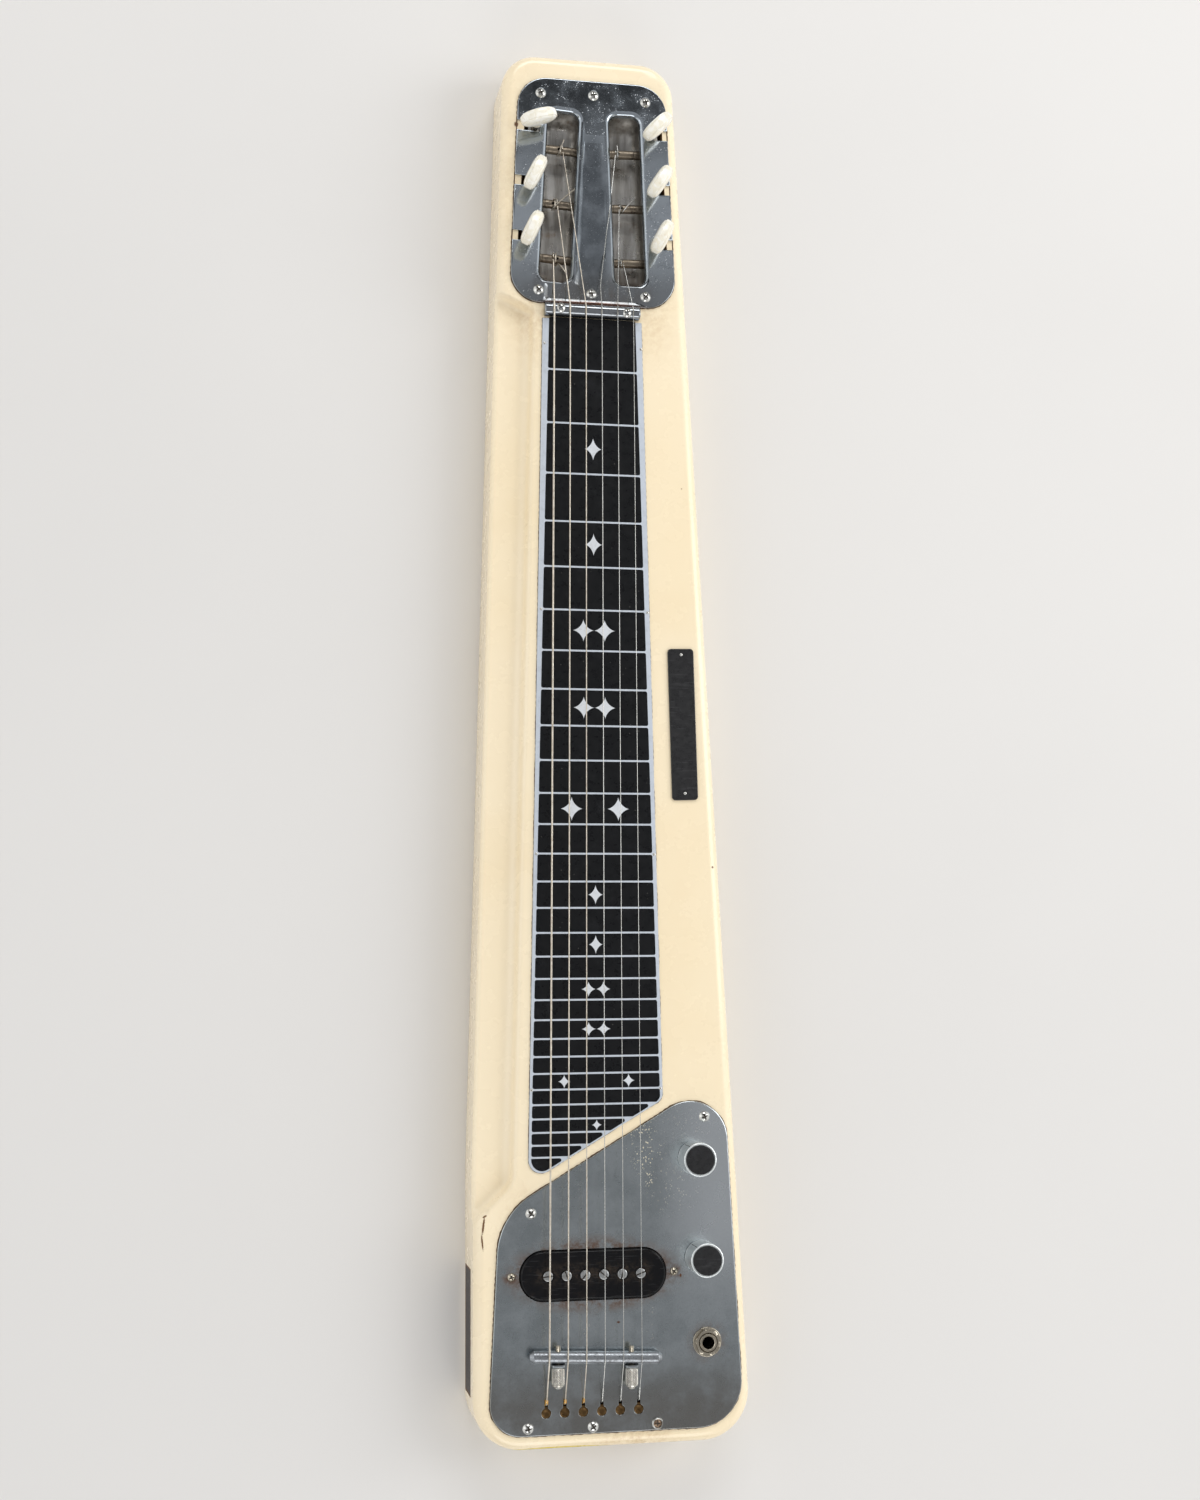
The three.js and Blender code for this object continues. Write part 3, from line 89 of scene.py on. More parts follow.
class Paint:
    """A principled material whose colour, roughness and bump come from procedural nodes in object space."""

    def __init__(self, name, color, rough, metal=0.0, **sockets):
        self.mat = bpy.data.materials.new(name)
        self.mat.use_nodes = True
        self.tree = self.mat.node_tree
        self.bsdf = self.tree.nodes["Principled BSDF"]
        self.coords = self.tree.nodes.new("ShaderNodeTexCoord").outputs["Object"]
        self.set("Base Color", color)
        self.set("Roughness", rough)
        self.set("Metallic", metal)
        for key, value in sockets.items():
            self.set(key.replace("_", " "), value)

    def feed(self, socket, value):
        if isinstance(value, bpy.types.NodeSocket):
            self.tree.links.new(value, socket)
        elif hasattr(socket.default_value, "__len__") and len(socket.default_value) > len(value):
            socket.default_value = (*value, 1.0)
        else:
            socket.default_value = value

    def set(self, name, value):
        self.feed(self.bsdf.inputs[name], value)
        return self

    def node(self, kind, **settings):
        node = self.tree.nodes.new(kind)
        for key, value in settings.items():
            setattr(node, key, value)
        return node

    def at(self, scale=(1, 1, 1), turn=0.0, offset=(0, 0, 0)):
        node = self.node("ShaderNodeMapping")
        self.feed(node.inputs["Vector"], self.coords)
        node.inputs["Scale"].default_value = scale
        node.inputs["Rotation"].default_value = (0, 0, turn)
        node.inputs["Location"].default_value = offset
        return node.outputs[0]

    def noise(self, per_metre, detail=4.0, rough=0.5, stretch=(1, 1, 1), turn=0.0, offset=(0, 0, 0),
              warp=0.0):
        node = self.node("ShaderNodeTexNoise")
        self.feed(node.inputs["Vector"], self.at(stretch, turn, offset))
        node.inputs["Scale"].default_value = per_metre
        node.inputs["Detail"].default_value = detail
        node.inputs["Roughness"].default_value = rough
        node.inputs["Distortion"].default_value = warp
        return node.outputs["Fac"]

    def voronoi(self, per_metre, feature="F1", stretch=(1, 1, 1), turn=0.0, rand=1.0):
        node = self.node("ShaderNodeTexVoronoi", feature=feature)
        self.feed(node.inputs["Vector"], self.at(stretch, turn))
        node.inputs["Scale"].default_value = per_metre
        node.inputs["Randomness"].default_value = rand
        return node.outputs["Distance"]

    def math(self, operation, a, b=0.0, clamp=False):
        node = self.node("ShaderNodeMath", operation=operation, use_clamp=clamp)
        self.feed(node.inputs[0], a)
        self.feed(node.inputs[1], b)
        return node.outputs[0]

    def times(self, a, b):
        return self.math("MULTIPLY", a, b)

    def plus(self, a, b):
        return self.math("ADD", a, b)

    def ramp_y(self, start, end, *out):
        """A soft ramp between two places along the guitar, in mm from the nut."""
        return self.band(self.axis(1), place((0, start, 0))[1], place((0, end, 0))[1], *out)

    def band(self, value, low, high, out_low=0.0, out_high=1.0):
        node = self.node("ShaderNodeMapRange", interpolation_type="SMOOTHSTEP")
        self.feed(node.inputs["Value"], value)
        node.inputs["From Min"].default_value = low
        node.inputs["From Max"].default_value = high
        node.inputs["To Min"].default_value = out_low
        node.inputs["To Max"].default_value = out_high
        return node.outputs["Result"]

    def mix(self, factor, a, b, how="MIX"):
        node = self.node("ShaderNodeMix", data_type="RGBA", blend_type=how)
        self.feed(node.inputs[0], factor)
        self.feed(node.inputs[6], a)
        self.feed(node.inputs[7], b)
        return node.outputs[2]

    def axis(self, index):
        node = self.node("ShaderNodeSeparateXYZ")
        self.feed(node.inputs[0], self.coords)
        return node.outputs[index]

    def spot(self, x, y, across, along, turn=0.0, z=None, edge=0.35, wobble=0.0):
        """1 inside an oval round (x, y), 0 outside, with a soft and optionally ragged edge. Sizes in mm."""
        flat = (1 / (across * MM), 1 / (along * MM), 0.0 if z is None else 1 / (z[1] * MM))
        centre = place((x, y, 0.0 if z is None else z[0]))
        move = self.node("ShaderNodeVectorMath", operation="SUBTRACT")
        self.feed(move.inputs[0], self.coords)
        move.inputs[1].default_value = centre
        turned = self.node("ShaderNodeMapping")
        self.feed(turned.inputs["Vector"], move.outputs[0])
        turned.inputs["Rotation"].default_value = (0, 0, -turn)
        sized = self.node("ShaderNodeVectorMath", operation="MULTIPLY")
        self.feed(sized.inputs[0], turned.outputs[0])
        sized.inputs[1].default_value = flat
        length = self.node("ShaderNodeVectorMath", operation="LENGTH")
        self.feed(length.inputs[0], sized.outputs[0])
        reach = length.outputs["Value"]
        if wobble:
            ragged = self.noise(1500, 3, 0.6)
            reach = self.plus(reach, self.times(self.math("SUBTRACT", ragged, 0.5), wobble))
        return self.band(reach, 1 - edge, 1 + edge, 1.0, 0.0)

    def most(self, *masks):
        total = masks[0]
        for mask in masks[1:]:
            total = self.math("MAXIMUM", total, mask)
        return total

    def bump(self, height, millimetres, strength=1.0):
        node = self.node("ShaderNodeBump")
        node.inputs["Strength"].default_value = strength
        node.inputs["Distance"].default_value = millimetres * MM
        self.feed(node.inputs["Height"], height)
        if self.bsdf.inputs["Normal"].is_linked:
            self.feed(node.inputs["Normal"], self.bsdf.inputs["Normal"].links[0].from_socket)
        self.feed(self.bsdf.inputs["Normal"], node.outputs[0])
        return self


def rgb(*channels):
    """A colour written in 0-255 screen values, as linear light."""
    values = [c / 255 for c in channels]
    return tuple(v / 12.92 if v <= 0.04045 else ((v + 0.055) / 1.055) ** 2.4 for v in values)


def tarnished(name, color, dirt, rough, amount=0.5, metal=1.0, grain=900, bump=0.02, **sockets):
    """Metal with fine pits, cloudy dulling and some dirt."""
    paint = Paint(name, color, rough, metal, **sockets)
    cloud = paint.noise(grain * 0.12, 5, 0.6)
    pits = paint.noise(grain, 4, 0.65)
    mask = paint.band(paint.plus(paint.times(cloud, 0.6), paint.times(pits, 0.4)), 0.5, 0.66, 0.0, amount)
    paint.set("Base Color", paint.mix(mask, color, dirt))
    paint.set("Roughness", paint.band(pits, 0.3, 0.75, rough * 0.8, min(rough * 1.7, 1.0)))
    paint.bump(pits, bump, 0.6)
    return paint


def cream_paint():
    base = rgb(251, 235, 203)
    paint = Paint("cream_paint", base, 0.28, 0.0, Coat_Weight=0.35, Coat_Roughness=0.12)
    broad = paint.band(paint.noise(9, 3, 0.55), 0.35, 0.7)
    color = paint.mix(paint.times(broad, 0.5), base, rgb(248, 229, 191))
    mottle = paint.band(paint.noise(22, 3, 0.5), 0.45, 0.75, 0.0, 0.3)
    color = paint.mix(mottle, color, rgb(243, 222, 182))
    # Painted shade, partly grime: brownish patches in the creases beside the nut, the head plate and the
    # control plate.
    darkening = paint.most(
        paint.times(paint.spot(-28, -2, 16, 22, 0.3, edge=0.9), 0.35),
        paint.times(paint.spot(34, 0, 10, 20, 0, edge=0.9), 0.3),
        paint.times(paint.spot(-40, 60, 9, 60, 0, edge=0.9), 0.25),
        paint.times(paint.spot(20, -614, 20, 7, 0, edge=0.9), 0.55),
        paint.times(paint.spot(-44, -500, 7, 16, -0.2, edge=0.9), 0.4),
    )
    color = paint.mix(paint.times(darkening, paint.band(paint.noise(260, 5, 0.7), 0.3, 0.7)), color,
                      rgb(196, 158, 104))
    specks = paint.band(paint.voronoi(95), 0.035, 0.06, 1.0, 0.0)
    rare = paint.band(paint.noise(30, 2, 0.5), 0.6, 0.66)
    color = paint.mix(paint.times(paint.times(specks, rare), 0.7), color, rgb(150, 112, 66))
    chips = paint.most(
        paint.spot(-61.4, -499.5, 0.55, 4.6, -0.12, edge=0.3, wobble=1.1),
        paint.spot(-62.0, -508, 0.45, 4.0, 0.1, edge=0.3, wobble=1.2),
        paint.spot(-60.7, -494.6, 1.2, 0.5, 0.5, edge=0.3, wobble=0.8),
        paint.spot(-42.8, 108, 1.2, 1.4, 0, edge=0.4, wobble=0.8),
        paint.spot(66.2, -309, 0.6, 0.6, 0, edge=0.3),
        paint.spot(41.6, 121, 0.7, 1.4, 0, edge=0.3, wobble=0.8),
    )
    color = paint.mix(chips, color, rgb(112, 76, 40))
    yellow = paint.spot(-20, -617.6, 29, 4.5, 0, z=(33.2, 3.2), edge=0.12, wobble=0.15)
    color = paint.mix(yellow, color, rgb(214, 188, 30))
    paint.set("Base Color", color)
    paint.set("Roughness", paint.band(paint.noise(60, 4, 0.6), 0.3, 0.8, 0.24, 0.32))
    paint.bump(paint.noise(30, 2, 0.4), 0.1, 0.15)
    paint.bump(chips, -0.25, 0.8)
    return paint


def raw_wood():
    paint = Paint("raw_wood", rgb(150, 108, 62), 0.75)
    rings = paint.noise(220, 6, 0.65, (1, 0.08, 1))
    fibre = paint.noise(1600, 3, 0.6, (1, 0.05, 1))
    color = paint.mix(rings, rgb(176, 132, 80), rgb(104, 68, 36))
    color = paint.mix(paint.band(fibre, 0.55, 0.8, 0, 0.5), color, rgb(70, 44, 24))
    paint.set("Base Color", color)
    paint.bump(fibre, 0.2, 0.6)
    return paint


def head_chrome():
    base = rgb(176, 184, 191)
    paint = Paint("head_chrome", base, 0.14, 1.0)
    fine = paint.noise(1500, 5, 0.7)
    cloud = paint.noise(110, 5, 0.65)
    pits = paint.band(paint.plus(paint.times(fine, 0.62), paint.times(cloud, 0.38)), 0.54, 0.64)
    color = paint.mix(paint.times(pits, 0.6), base, rgb(96, 104, 112))
    dots = paint.band(paint.voronoi(900), 0.2, 0.3, 1.0, 0.0)
    dots = paint.times(dots, paint.band(paint.noise(500, 3, 0.6), 0.5, 0.58))
    dots = paint.times(dots, paint.band(cloud, 0.4, 0.6, 0.15, 0.8))
    color = paint.mix(dots, color, rgb(226, 230, 234))
    worn = paint.most(
        paint.times(paint.spot(-1, 9, 30, 11, 0, edge=0.6), 0.75),
        paint.times(paint.spot(-20, 14, 14, 6, 0, edge=0.7), 0.6),
        paint.times(paint.spot(22, 13, 12, 6, 0, edge=0.7), 0.6),
    )
    worn = paint.times(worn, paint.band(paint.noise(180, 5, 0.7, (1, 0.25, 1)), 0.25, 0.7))
    color = paint.mix(worn, color, rgb(126, 112, 100))
    tongue = paint.times(paint.spot(-0.5, 55, 11, 46, 0, edge=0.3), paint.band(cloud, 0.2, 0.6, 0.45, 0.8))
    color = paint.mix(tongue, color, rgb(92, 98, 104))
    # Painted shade: the chrome is made darker towards the nut end.
    low = paint.ramp_y(40, 12, 0.0, 0.55)
    color = paint.mix(low, color, rgb(104, 106, 106))
    # A brown line along the plate's edge beside the nut.
    brown_mark = paint.times(paint.spot(-0.5, 6.1, 27, 1.3, 0, edge=0.4, wobble=0.8), 0.8)
    color = paint.mix(brown_mark, color, rgb(104, 62, 34))
    paint.set("Base Color", color)
    dull = paint.band(cloud, 0.3, 0.75, 0.07, 0.14)
    dull = paint.plus(dull, paint.times(worn, 0.3))
    dull = paint.plus(dull, paint.times(dots, 0.5))
    paint.set("Roughness", paint.plus(dull, paint.times(pits, 0.22)))
    paint.bump(fine, 0.012, 0.4)
    return paint


def control_steel():
    base = rgb(166, 173, 176)
    paint = Paint("control_steel", base, 0.34, 1.0)
    cloud = paint.noise(55, 6, 0.62)
    fine = paint.noise(1300, 4, 0.7)
    color = paint.mix(paint.band(cloud, 0.35, 0.7), rgb(174, 181, 184), rgb(148, 155, 158))
    color = paint.mix(paint.band(fine, 0.5, 0.75, 0.0, 0.45), color, rgb(104, 108, 110))
    specks = paint.band(paint.voronoi(760), 0.24, 0.34, 1.0, 0.0)
    scatter = paint.most(
        paint.spot(28, -464, 8, 22, 0.3, edge=0.7),
        paint.times(paint.spot(42, -482, 12, 12, 0.3, edge=0.8), 0.6),
        paint.times(paint.spot(50, -448, 14, 10, 0, edge=0.8), 0.35),
        paint.times(paint.band(paint.noise(70, 3, 0.6), 0.6, 0.75), 0.3),
    )
    patch = paint.band(paint.noise(420, 3, 0.6), 0.5, 0.56)
    light = paint.times(paint.times(specks, scatter), patch)
    color = paint.mix(light, color, rgb(238, 230, 206))
    # Painted highlight: the plate is made lighter towards its treble edge, over the knobs' end, fading out
    # towards the bridge.
    painted_sheen = paint.band(paint.axis(0), place((24, 0, 0))[0], place((66, 0, 0))[0])
    painted_sheen = paint.times(painted_sheen, paint.ramp_y(-560, -500))
    color = paint.mix(paint.times(painted_sheen, 0.55), color, rgb(226, 231, 235))
    # Darker towards the tail end of the plate, in clouds.
    darkening = paint.ramp_y(-560, -600)
    color = paint.mix(paint.times(darkening, paint.band(cloud, 0.3, 0.6, 0.3, 0.6)), color, rgb(116, 108, 98))
    halo = paint.spot(-2.4, PICKUP_Y, 46.5, 19.5, 0, edge=0.2)
    rim = paint.most(halo, paint.spot(-46.6, PICKUP_Y, 5, 4.6, 0, edge=0.5),
                     paint.spot(41.8, PICKUP_Y, 5, 4.6, 0, edge=0.5),
                     paint.times(paint.spot(59.8, -564.3, 10.5, 10.5, 0, edge=0.3), 0.6))
    brown_mark = paint.times(rim, paint.band(paint.noise(190, 5, 0.7), 0.32, 0.62))
    color = paint.mix(paint.times(brown_mark, 0.85), color, rgb(100, 72, 52))
    spots = paint.most(paint.spot(11.2, -552, 0.8, 0.5, 0, edge=0.5),
                       paint.spot(45.5, -528.7, 0.5, 0.9, 0, edge=0.5))
    color = paint.mix(spots, color, rgb(120, 76, 44))
    paint.set("Base Color", color)
    rough = paint.band(cloud, 0.3, 0.75, 0.2, 0.3)
    paint.set("Roughness", paint.plus(rough, paint.times(paint.math("MAXIMUM", brown_mark, light), 0.3)))
    paint.bump(fine, 0.03, 0.5)
    paint.bump(paint.noise(35, 2, 0.4), 0.2, 0.12)
    return paint


def board_black():
    paint = Paint("board_black", rgb(24, 25, 28), 0.3, 0.0)
    paint.bsdf.inputs["Specular IOR Level"].default_value = 0.2
    dust = paint.band(paint.noise(95, 5, 0.7), 0.52, 0.78, 0.0, 0.3)
    specks = paint.times(paint.band(paint.voronoi(260), 0.05, 0.11, 1.0, 0.0),
                        paint.band(paint.noise(60, 2, 0.5), 0.5, 0.62, 0.0, 0.35))
    color = paint.mix(dust, rgb(16, 17, 19), rgb(46, 47, 50))
    color = paint.mix(specks, color, rgb(120, 118, 112))
    paint.set("Base Color", color)
    paint.set("Roughness", paint.band(paint.noise(210, 5, 0.6), 0.3, 0.75, 0.24, 0.48))
    paint.bump(paint.noise(900, 4, 0.6, (1, 0.4, 1)), 0.02, 0.4)
    return paint


def board_print():
    base = rgb(196, 203, 212)
    paint = Paint("board_print", base, 0.4, 0.0)
    color = paint.mix(paint.band(paint.noise(240, 5, 0.7), 0.45, 0.75, 0.0, 0.5), base, rgb(168, 174, 182))
    dirt = paint.band(paint.noise(700, 4, 0.7), 0.62, 0.8, 0.0, 0.4)
    color = paint.mix(dirt, color, rgb(128, 118, 104))
    paint.set("Base Color", color)
    paint.bump(paint.noise(1400, 3, 0.6), 0.02, 0.4)
    return paint


def star_print():
    base = rgb(214, 218, 222)
    paint = Paint("star_print", base, 0.35, 0.0)
    paint.set("Base Color", paint.mix(paint.band(paint.noise(600, 4, 0.7), 0.45, 0.8, 0.0, 0.5), base,
                                      rgb(176, 178, 178)))
    paint.bump(paint.noise(1400, 3, 0.6), 0.02, 0.4)
    return paint


def pearl():
    base = rgb(247, 243, 230)
    paint = Paint("pearl", base, 0.2, 0.0, Coat_Weight=0.5, Coat_Roughness=0.08)
    swirl = paint.noise(150, 3, 0.5, (1, 1, 2.6), warp=1.6)
    color = paint.mix(paint.band(swirl, 0.36, 0.62), rgb(251, 248, 238), rgb(240, 234, 215))
    lines = paint.band(paint.noise(420, 2, 0.5, (1, 1, 3.4), warp=1.0), 0.6, 0.72, 0.0, 0.4)
    color = paint.mix(lines, color, rgb(214, 200, 170))
    stain = paint.band(paint.noise(110, 5, 0.7), 0.62, 0.74, 0.0, 0.5)
    color = paint.mix(stain, color, rgb(206, 176, 128))
    paint.set("Base Color", color)
    paint.set("Roughness", paint.band(swirl, 0.3, 0.7, 0.16, 0.3))
    paint.bump(paint.noise(300, 2, 0.5), 0.03, 0.2)
    return paint


def knob_metal():
    base = rgb(244, 249, 249)
    paint = Paint("knob_metal", base, 0.4, 1.0)
    fine = paint.noise(3000, 3, 0.6, (0.2, 0.2, 3))
    stain = paint.band(paint.noise(260, 5, 0.7), 0.5, 0.75, 0.0, 0.35)
    paint.set("Base Color", paint.mix(stain, base, rgb(196, 200, 196)))
    paint.set("Roughness", paint.band(fine, 0.3, 0.75, 0.34, 0.5))
    paint.bump(fine, 0.015, 0.5)
    return paint


def knurled_metal():
    paint = Paint("knurled_metal", rgb(208, 206, 198), 0.16, 1.0)
    # Painted shade, partly grime: the knurl's hollows, found by pointiness, are darkened to brown.
    ridge = paint.band(paint.node("ShaderNodeNewGeometry").outputs["Pointiness"], 0.47, 0.515)
    grain = paint.noise(900, 3, 0.6)
    color = paint.mix(paint.band(grain, 0.5, 0.75, 0.0, 0.5), rgb(224, 222, 214), rgb(176, 160, 130))
    paint.set("Base Color", paint.mix(ridge, rgb(58, 46, 34), color))
    paint.set("Roughness", paint.band(grain, 0.3, 0.75, 0.12, 0.26))
    paint.bump(grain, 0.02, 0.4)
    return paint


def black_shell(name, dust=0.35, tint=(88, 74, 60)):
    paint = Paint(name, rgb(20, 20, 22), 0.3, 0.0, Coat_Weight=0.2, Coat_Roughness=0.15)
    cloud = paint.band(paint.noise(150, 5, 0.7), 0.5, 0.78, 0.0, dust)
    color = paint.mix(cloud, rgb(17, 17, 19), rgb(*tint))
    scratch = paint.band(paint.noise(1800, 2, 0.5, (0.05, 1, 1), 0.4), 0.62, 0.7, 0.0, 0.25)
    color = paint.mix(scratch, color, rgb(84, 84, 86))
    paint.set("Base Color", color)
    paint.set("Roughness", paint.band(paint.noise(420, 4, 0.6), 0.3, 0.75, 0.24, 0.46))
    paint.bump(paint.noise(1500, 3, 0.6), 0.02, 0.4)
    return paint


def pickup_black():
    paint = black_shell("pickup_black", 0.12)
    paint.bsdf.inputs["Specular IOR Level"].default_value = 0.16
    paint.bsdf.inputs["Coat Weight"].default_value = 0.03
    paint.set("Roughness", paint.band(paint.noise(420, 4, 0.6), 0.3, 0.75, 0.12, 0.26))
    smudge = paint.most(*[paint.spot(pole_x(n), -525.5, 6.2, 5.6, 0, edge=0.6) for n in range(1, 7)])
    mask = paint.times(smudge, paint.band(paint.noise(330, 5, 0.7), 0.4, 0.75, 0.0, 0.7))
    was = paint.bsdf.inputs["Base Color"].links[0].from_socket
    paint.set("Base Color", paint.mix(mask, was, rgb(70, 60, 50)))
    return paint


def pad_dark():
    paint = Paint("pad_dark", rgb(62, 56, 54), 0.6)
    fine = paint.noise(900, 5, 0.7)
    color = paint.mix(paint.band(fine, 0.4, 0.7), rgb(48, 44, 43), rgb(84, 76, 72))
    edge = paint.most(paint.band(paint.axis(2), 5.2 * MM, 3.6 * MM),
                      paint.band(paint.axis(2), 23.4 * MM, 24.9 * MM),
                      paint.ramp_y(-525.5, -524.2),
                      paint.ramp_y(-588.8, -590.2))
    color = paint.mix(paint.times(edge, 0.8), color, rgb(110, 76, 48))
    paint.set("Base Color", color)
    paint.bump(fine, 0.12, 0.6)
    paint.bump(paint.noise(260, 3, 0.6, (1, 0.2, 1)), 0.2, 0.4)
    return paint


def trough_steel():
    base = rgb(186, 184, 180)
    paint = Paint("trough_steel", base, 0.3, 1.0)
    streak = paint.noise(260, 4, 0.6, (1, 0.1, 1))
    cloud = paint.noise(90, 5, 0.7)
    color = paint.mix(paint.band(streak, 0.35, 0.7), rgb(196, 194, 190), rgb(150, 146, 140))
    brown_mark = paint.band(cloud, 0.56, 0.76, 0.0, 0.6)
    foot = paint.ramp_y(34, 16)
    brown_mark = paint.math("MAXIMUM", brown_mark, paint.times(foot, 0.6))
    color = paint.mix(brown_mark, color, rgb(128, 104, 82))
    paint.set("Base Color", color)
    paint.set("Roughness", paint.band(cloud, 0.3, 0.75, 0.24, 0.45))
    paint.bump(streak, 0.04, 0.5)
    return paint


def wound_wire():
    base = rgb(220, 212, 198)
    paint = Paint("wound_wire", base, 0.34, 1.0)
    wave = paint.node("ShaderNodeTexWave", wave_type="BANDS", bands_direction="Y")
    paint.feed(wave.inputs["Vector"], paint.coords)
    wave.inputs["Scale"].default_value = 1000
    grain = paint.noise(500, 3, 0.6)
    paint.set("Base Color", paint.mix(paint.band(grain, 0.4, 0.7, 0.0, 0.5), base, rgb(168, 152, 130)))
    paint.bump(wave.outputs["Fac"], 0.04, 0.5)
    return paint


def floor_paint():
    base = rgb(226, 224, 221)
    paint = Paint("floor_paint", base, 0.75)
    paint.set("Base Color",
              paint.mix(paint.band(paint.noise(3, 3, 0.5), 0.4, 0.7, 0.0, 0.3), base, rgb(220, 218, 215)))
    paint.bump(paint.noise(300, 3, 0.6), 0.1, 0.1)
    return paint


CREAM = cream_paint().mat
WOOD = raw_wood().mat
CHROME = head_chrome().mat
STEEL = control_steel().mat
NUT = tarnished("nut_chrome", rgb(150, 154, 158), rgb(76, 70, 66), 0.1, 0.6, grain=700).mat
BOARD = board_black().mat
PRINT = board_print().mat
STAR = star_print().mat
PEARL = pearl().mat
KNOB = knob_metal().mat
CAP = black_shell("cap_black", 0.12, (60, 62, 72)).mat
PICKUP = pickup_black().mat
BADGE = black_shell("badge_black", 0.25, (58, 56, 56)).mat
PAD = pad_dark().mat
TROUGH = trough_steel().mat
WOUND = wound_wire().mat
PLAIN = tarnished("plain_wire", rgb(206, 206, 202), rgb(132, 122, 108), 0.2, 0.5).mat
SCREW = tarnished("screw_nickel", rgb(206, 206, 202), rgb(120, 112, 98), 0.16, 0.45).mat
DISH = tarnished("dish_brass", rgb(112, 88, 58), rgb(58, 42, 28), 0.45, 0.8).mat
# Darker metal for the screws' recesses: partly grime, partly painted shade.
RECESS_GRIME_AND_SHADE = tarnished("screw_recess_grime_and_shade", rgb(96, 90, 82), rgb(44, 38, 34), 0.4, 0.6).mat
POLE = tarnished("pole_nickel", rgb(176, 178, 178), rgb(116, 112, 104), 0.3, 0.5).mat
WORN = tarnished("screw_worn", rgb(150, 128, 108), rgb(84, 62, 46), 0.4, 0.8).mat
NICKEL = tarnished("nickel", rgb(184, 176, 160), rgb(112, 98, 78), 0.2, 0.55).mat
POST = tarnished("post_metal", rgb(132, 122, 108), rgb(64, 52, 42), 0.36, 0.7).mat
ROD = tarnished("rod_metal", rgb(152, 156, 160), rgb(96, 94, 92), 0.3, 0.5).mat
BRASS = tarnished("brass", rgb(226, 178, 96), rgb(150, 104, 48), 0.3, 0.5).mat
NECK = tarnished("button_neck", rgb(214, 208, 190), rgb(170, 150, 116), 0.4, 0.6, metal=0.0).mat
KNURL = knurled_metal().mat
# Brown for the lines along the plates' edges and the strip behind the nut: partly dirt, partly painted shade.
EDGE_DIRT_AND_SHADE = tarnished("edge_dirt_and_shade", rgb(92, 66, 44), rgb(46, 34, 26), 0.8, 0.8, metal=0.0).mat
# Near-black for the walls of holes, which is painted shade, and for the knobs' index line.
HOLE_SHADE_AND_INDEX_BLACK = tarnished("hole_shade_and_index_black", rgb(16, 15, 14), rgb(34, 28, 22), 0.6, 0.6, metal=0.0).mat
COPPER = tarnished("coil_copper", rgb(150, 86, 52), rgb(90, 50, 30), 0.4, 0.6).mat
IRON = tarnished("magnet_iron", rgb(70, 68, 68), rgb(44, 40, 38), 0.55, 0.6).mat
POT = tarnished("pot_metal", rgb(150, 154, 158), rgb(104, 102, 100), 0.35, 0.5).mat


# Mesh helpers


WELD = 2e-7


class Shape:
    """Vertices and faces in drawing millimetres, gathered from several parts with a material each."""

    def __init__(self):
        self.verts, self.faces, self.slots, self.mats = [], [], [], []

    def add(self, verts, faces, material):
        if material not in self.mats:
            self.mats.append(material)
        start, slot = len(self.verts), self.mats.index(material)
        self.verts += [tuple(v) for v in verts]
        self.faces += [tuple(start + i for i in face) for face in faces]
        self.slots += [slot] * len(faces)
        return self

    def moved(self, matrix):
        self.verts = [tuple(matrix @ Vector(v)) for v in self.verts]
        return self

    def object(self, name, body, replaces=(), slot=None, sharp=32.0):
        mesh = bpy.data.meshes.new(name)
        mesh.from_pydata([place(v) for v in self.verts], [], self.faces)
        for material in self.mats:
            mesh.materials.append(material)
        mesh.polygons.foreach_set("material_index", self.slots)
        mesh.polygons.foreach_set("use_smooth", [True] * len(self.faces))
        welded = bmesh.new()
        welded.from_mesh(mesh)
        bmesh.ops.remove_doubles(welded, verts=welded.verts, dist=WELD)
        welded.to_mesh(mesh)
        welded.free()
        mesh.validate()
        mesh.update()
        mesh.set_sharp_from_angle(angle=math.radians(sharp))
        obj = bpy.data.objects.new(name, mesh)
        bpy.context.scene.collection.objects.link(obj)
        if body:
            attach(obj, body)
        if replaces:
            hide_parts(*([replaces] if isinstance(replaces, str) else replaces))
        return obj


def seam_faces(rows, columns):
    """Faces that join the last row of a grid to its first."""
    last = (rows - 1) * columns
    return [(last + k, last + (k + 1) % columns, (k + 1) % columns, k) for k in range(columns)]


def level(points, z):
    """An outline's points at one height."""
    return [(x, y, z) for x, y in points]


def hoop(profile, sides, x=0.0, y=0.0):
    """A closed profile turned round Z, given as (radius, height) with its outer side first going up."""
    verts = [p for r, z in profile for p in level(circle(x, y, r, sides), z)]
    return verts, grid_faces(len(profile), sides) + seam_faces(len(profile), sides)


def grid_faces(rows, columns, closed=True, flip=False):
    faces = []
    for i in range(rows - 1):
        for k in range(columns if closed else columns - 1):
            a, b = i * columns + k, i * columns + (k + 1) % columns
            quad = (a, b, b + columns, a + columns)
            faces.append(quad[::-1] if flip else quad)
    return faces


def loft(rings, caps=True, flip=False):
    """Quads through rings of equal count; each end is closed by one face."""
    count = len(rings[0])
    verts = [p for ring in rings for p in ring]
    faces = grid_faces(len(rings), count, True, flip)
    if caps:
        first = tuple(range(count))
        last = tuple((len(rings) - 1) * count + k for k in range(count))
        faces += [first if flip else first[::-1], last[::-1] if flip else last]
    return verts, faces


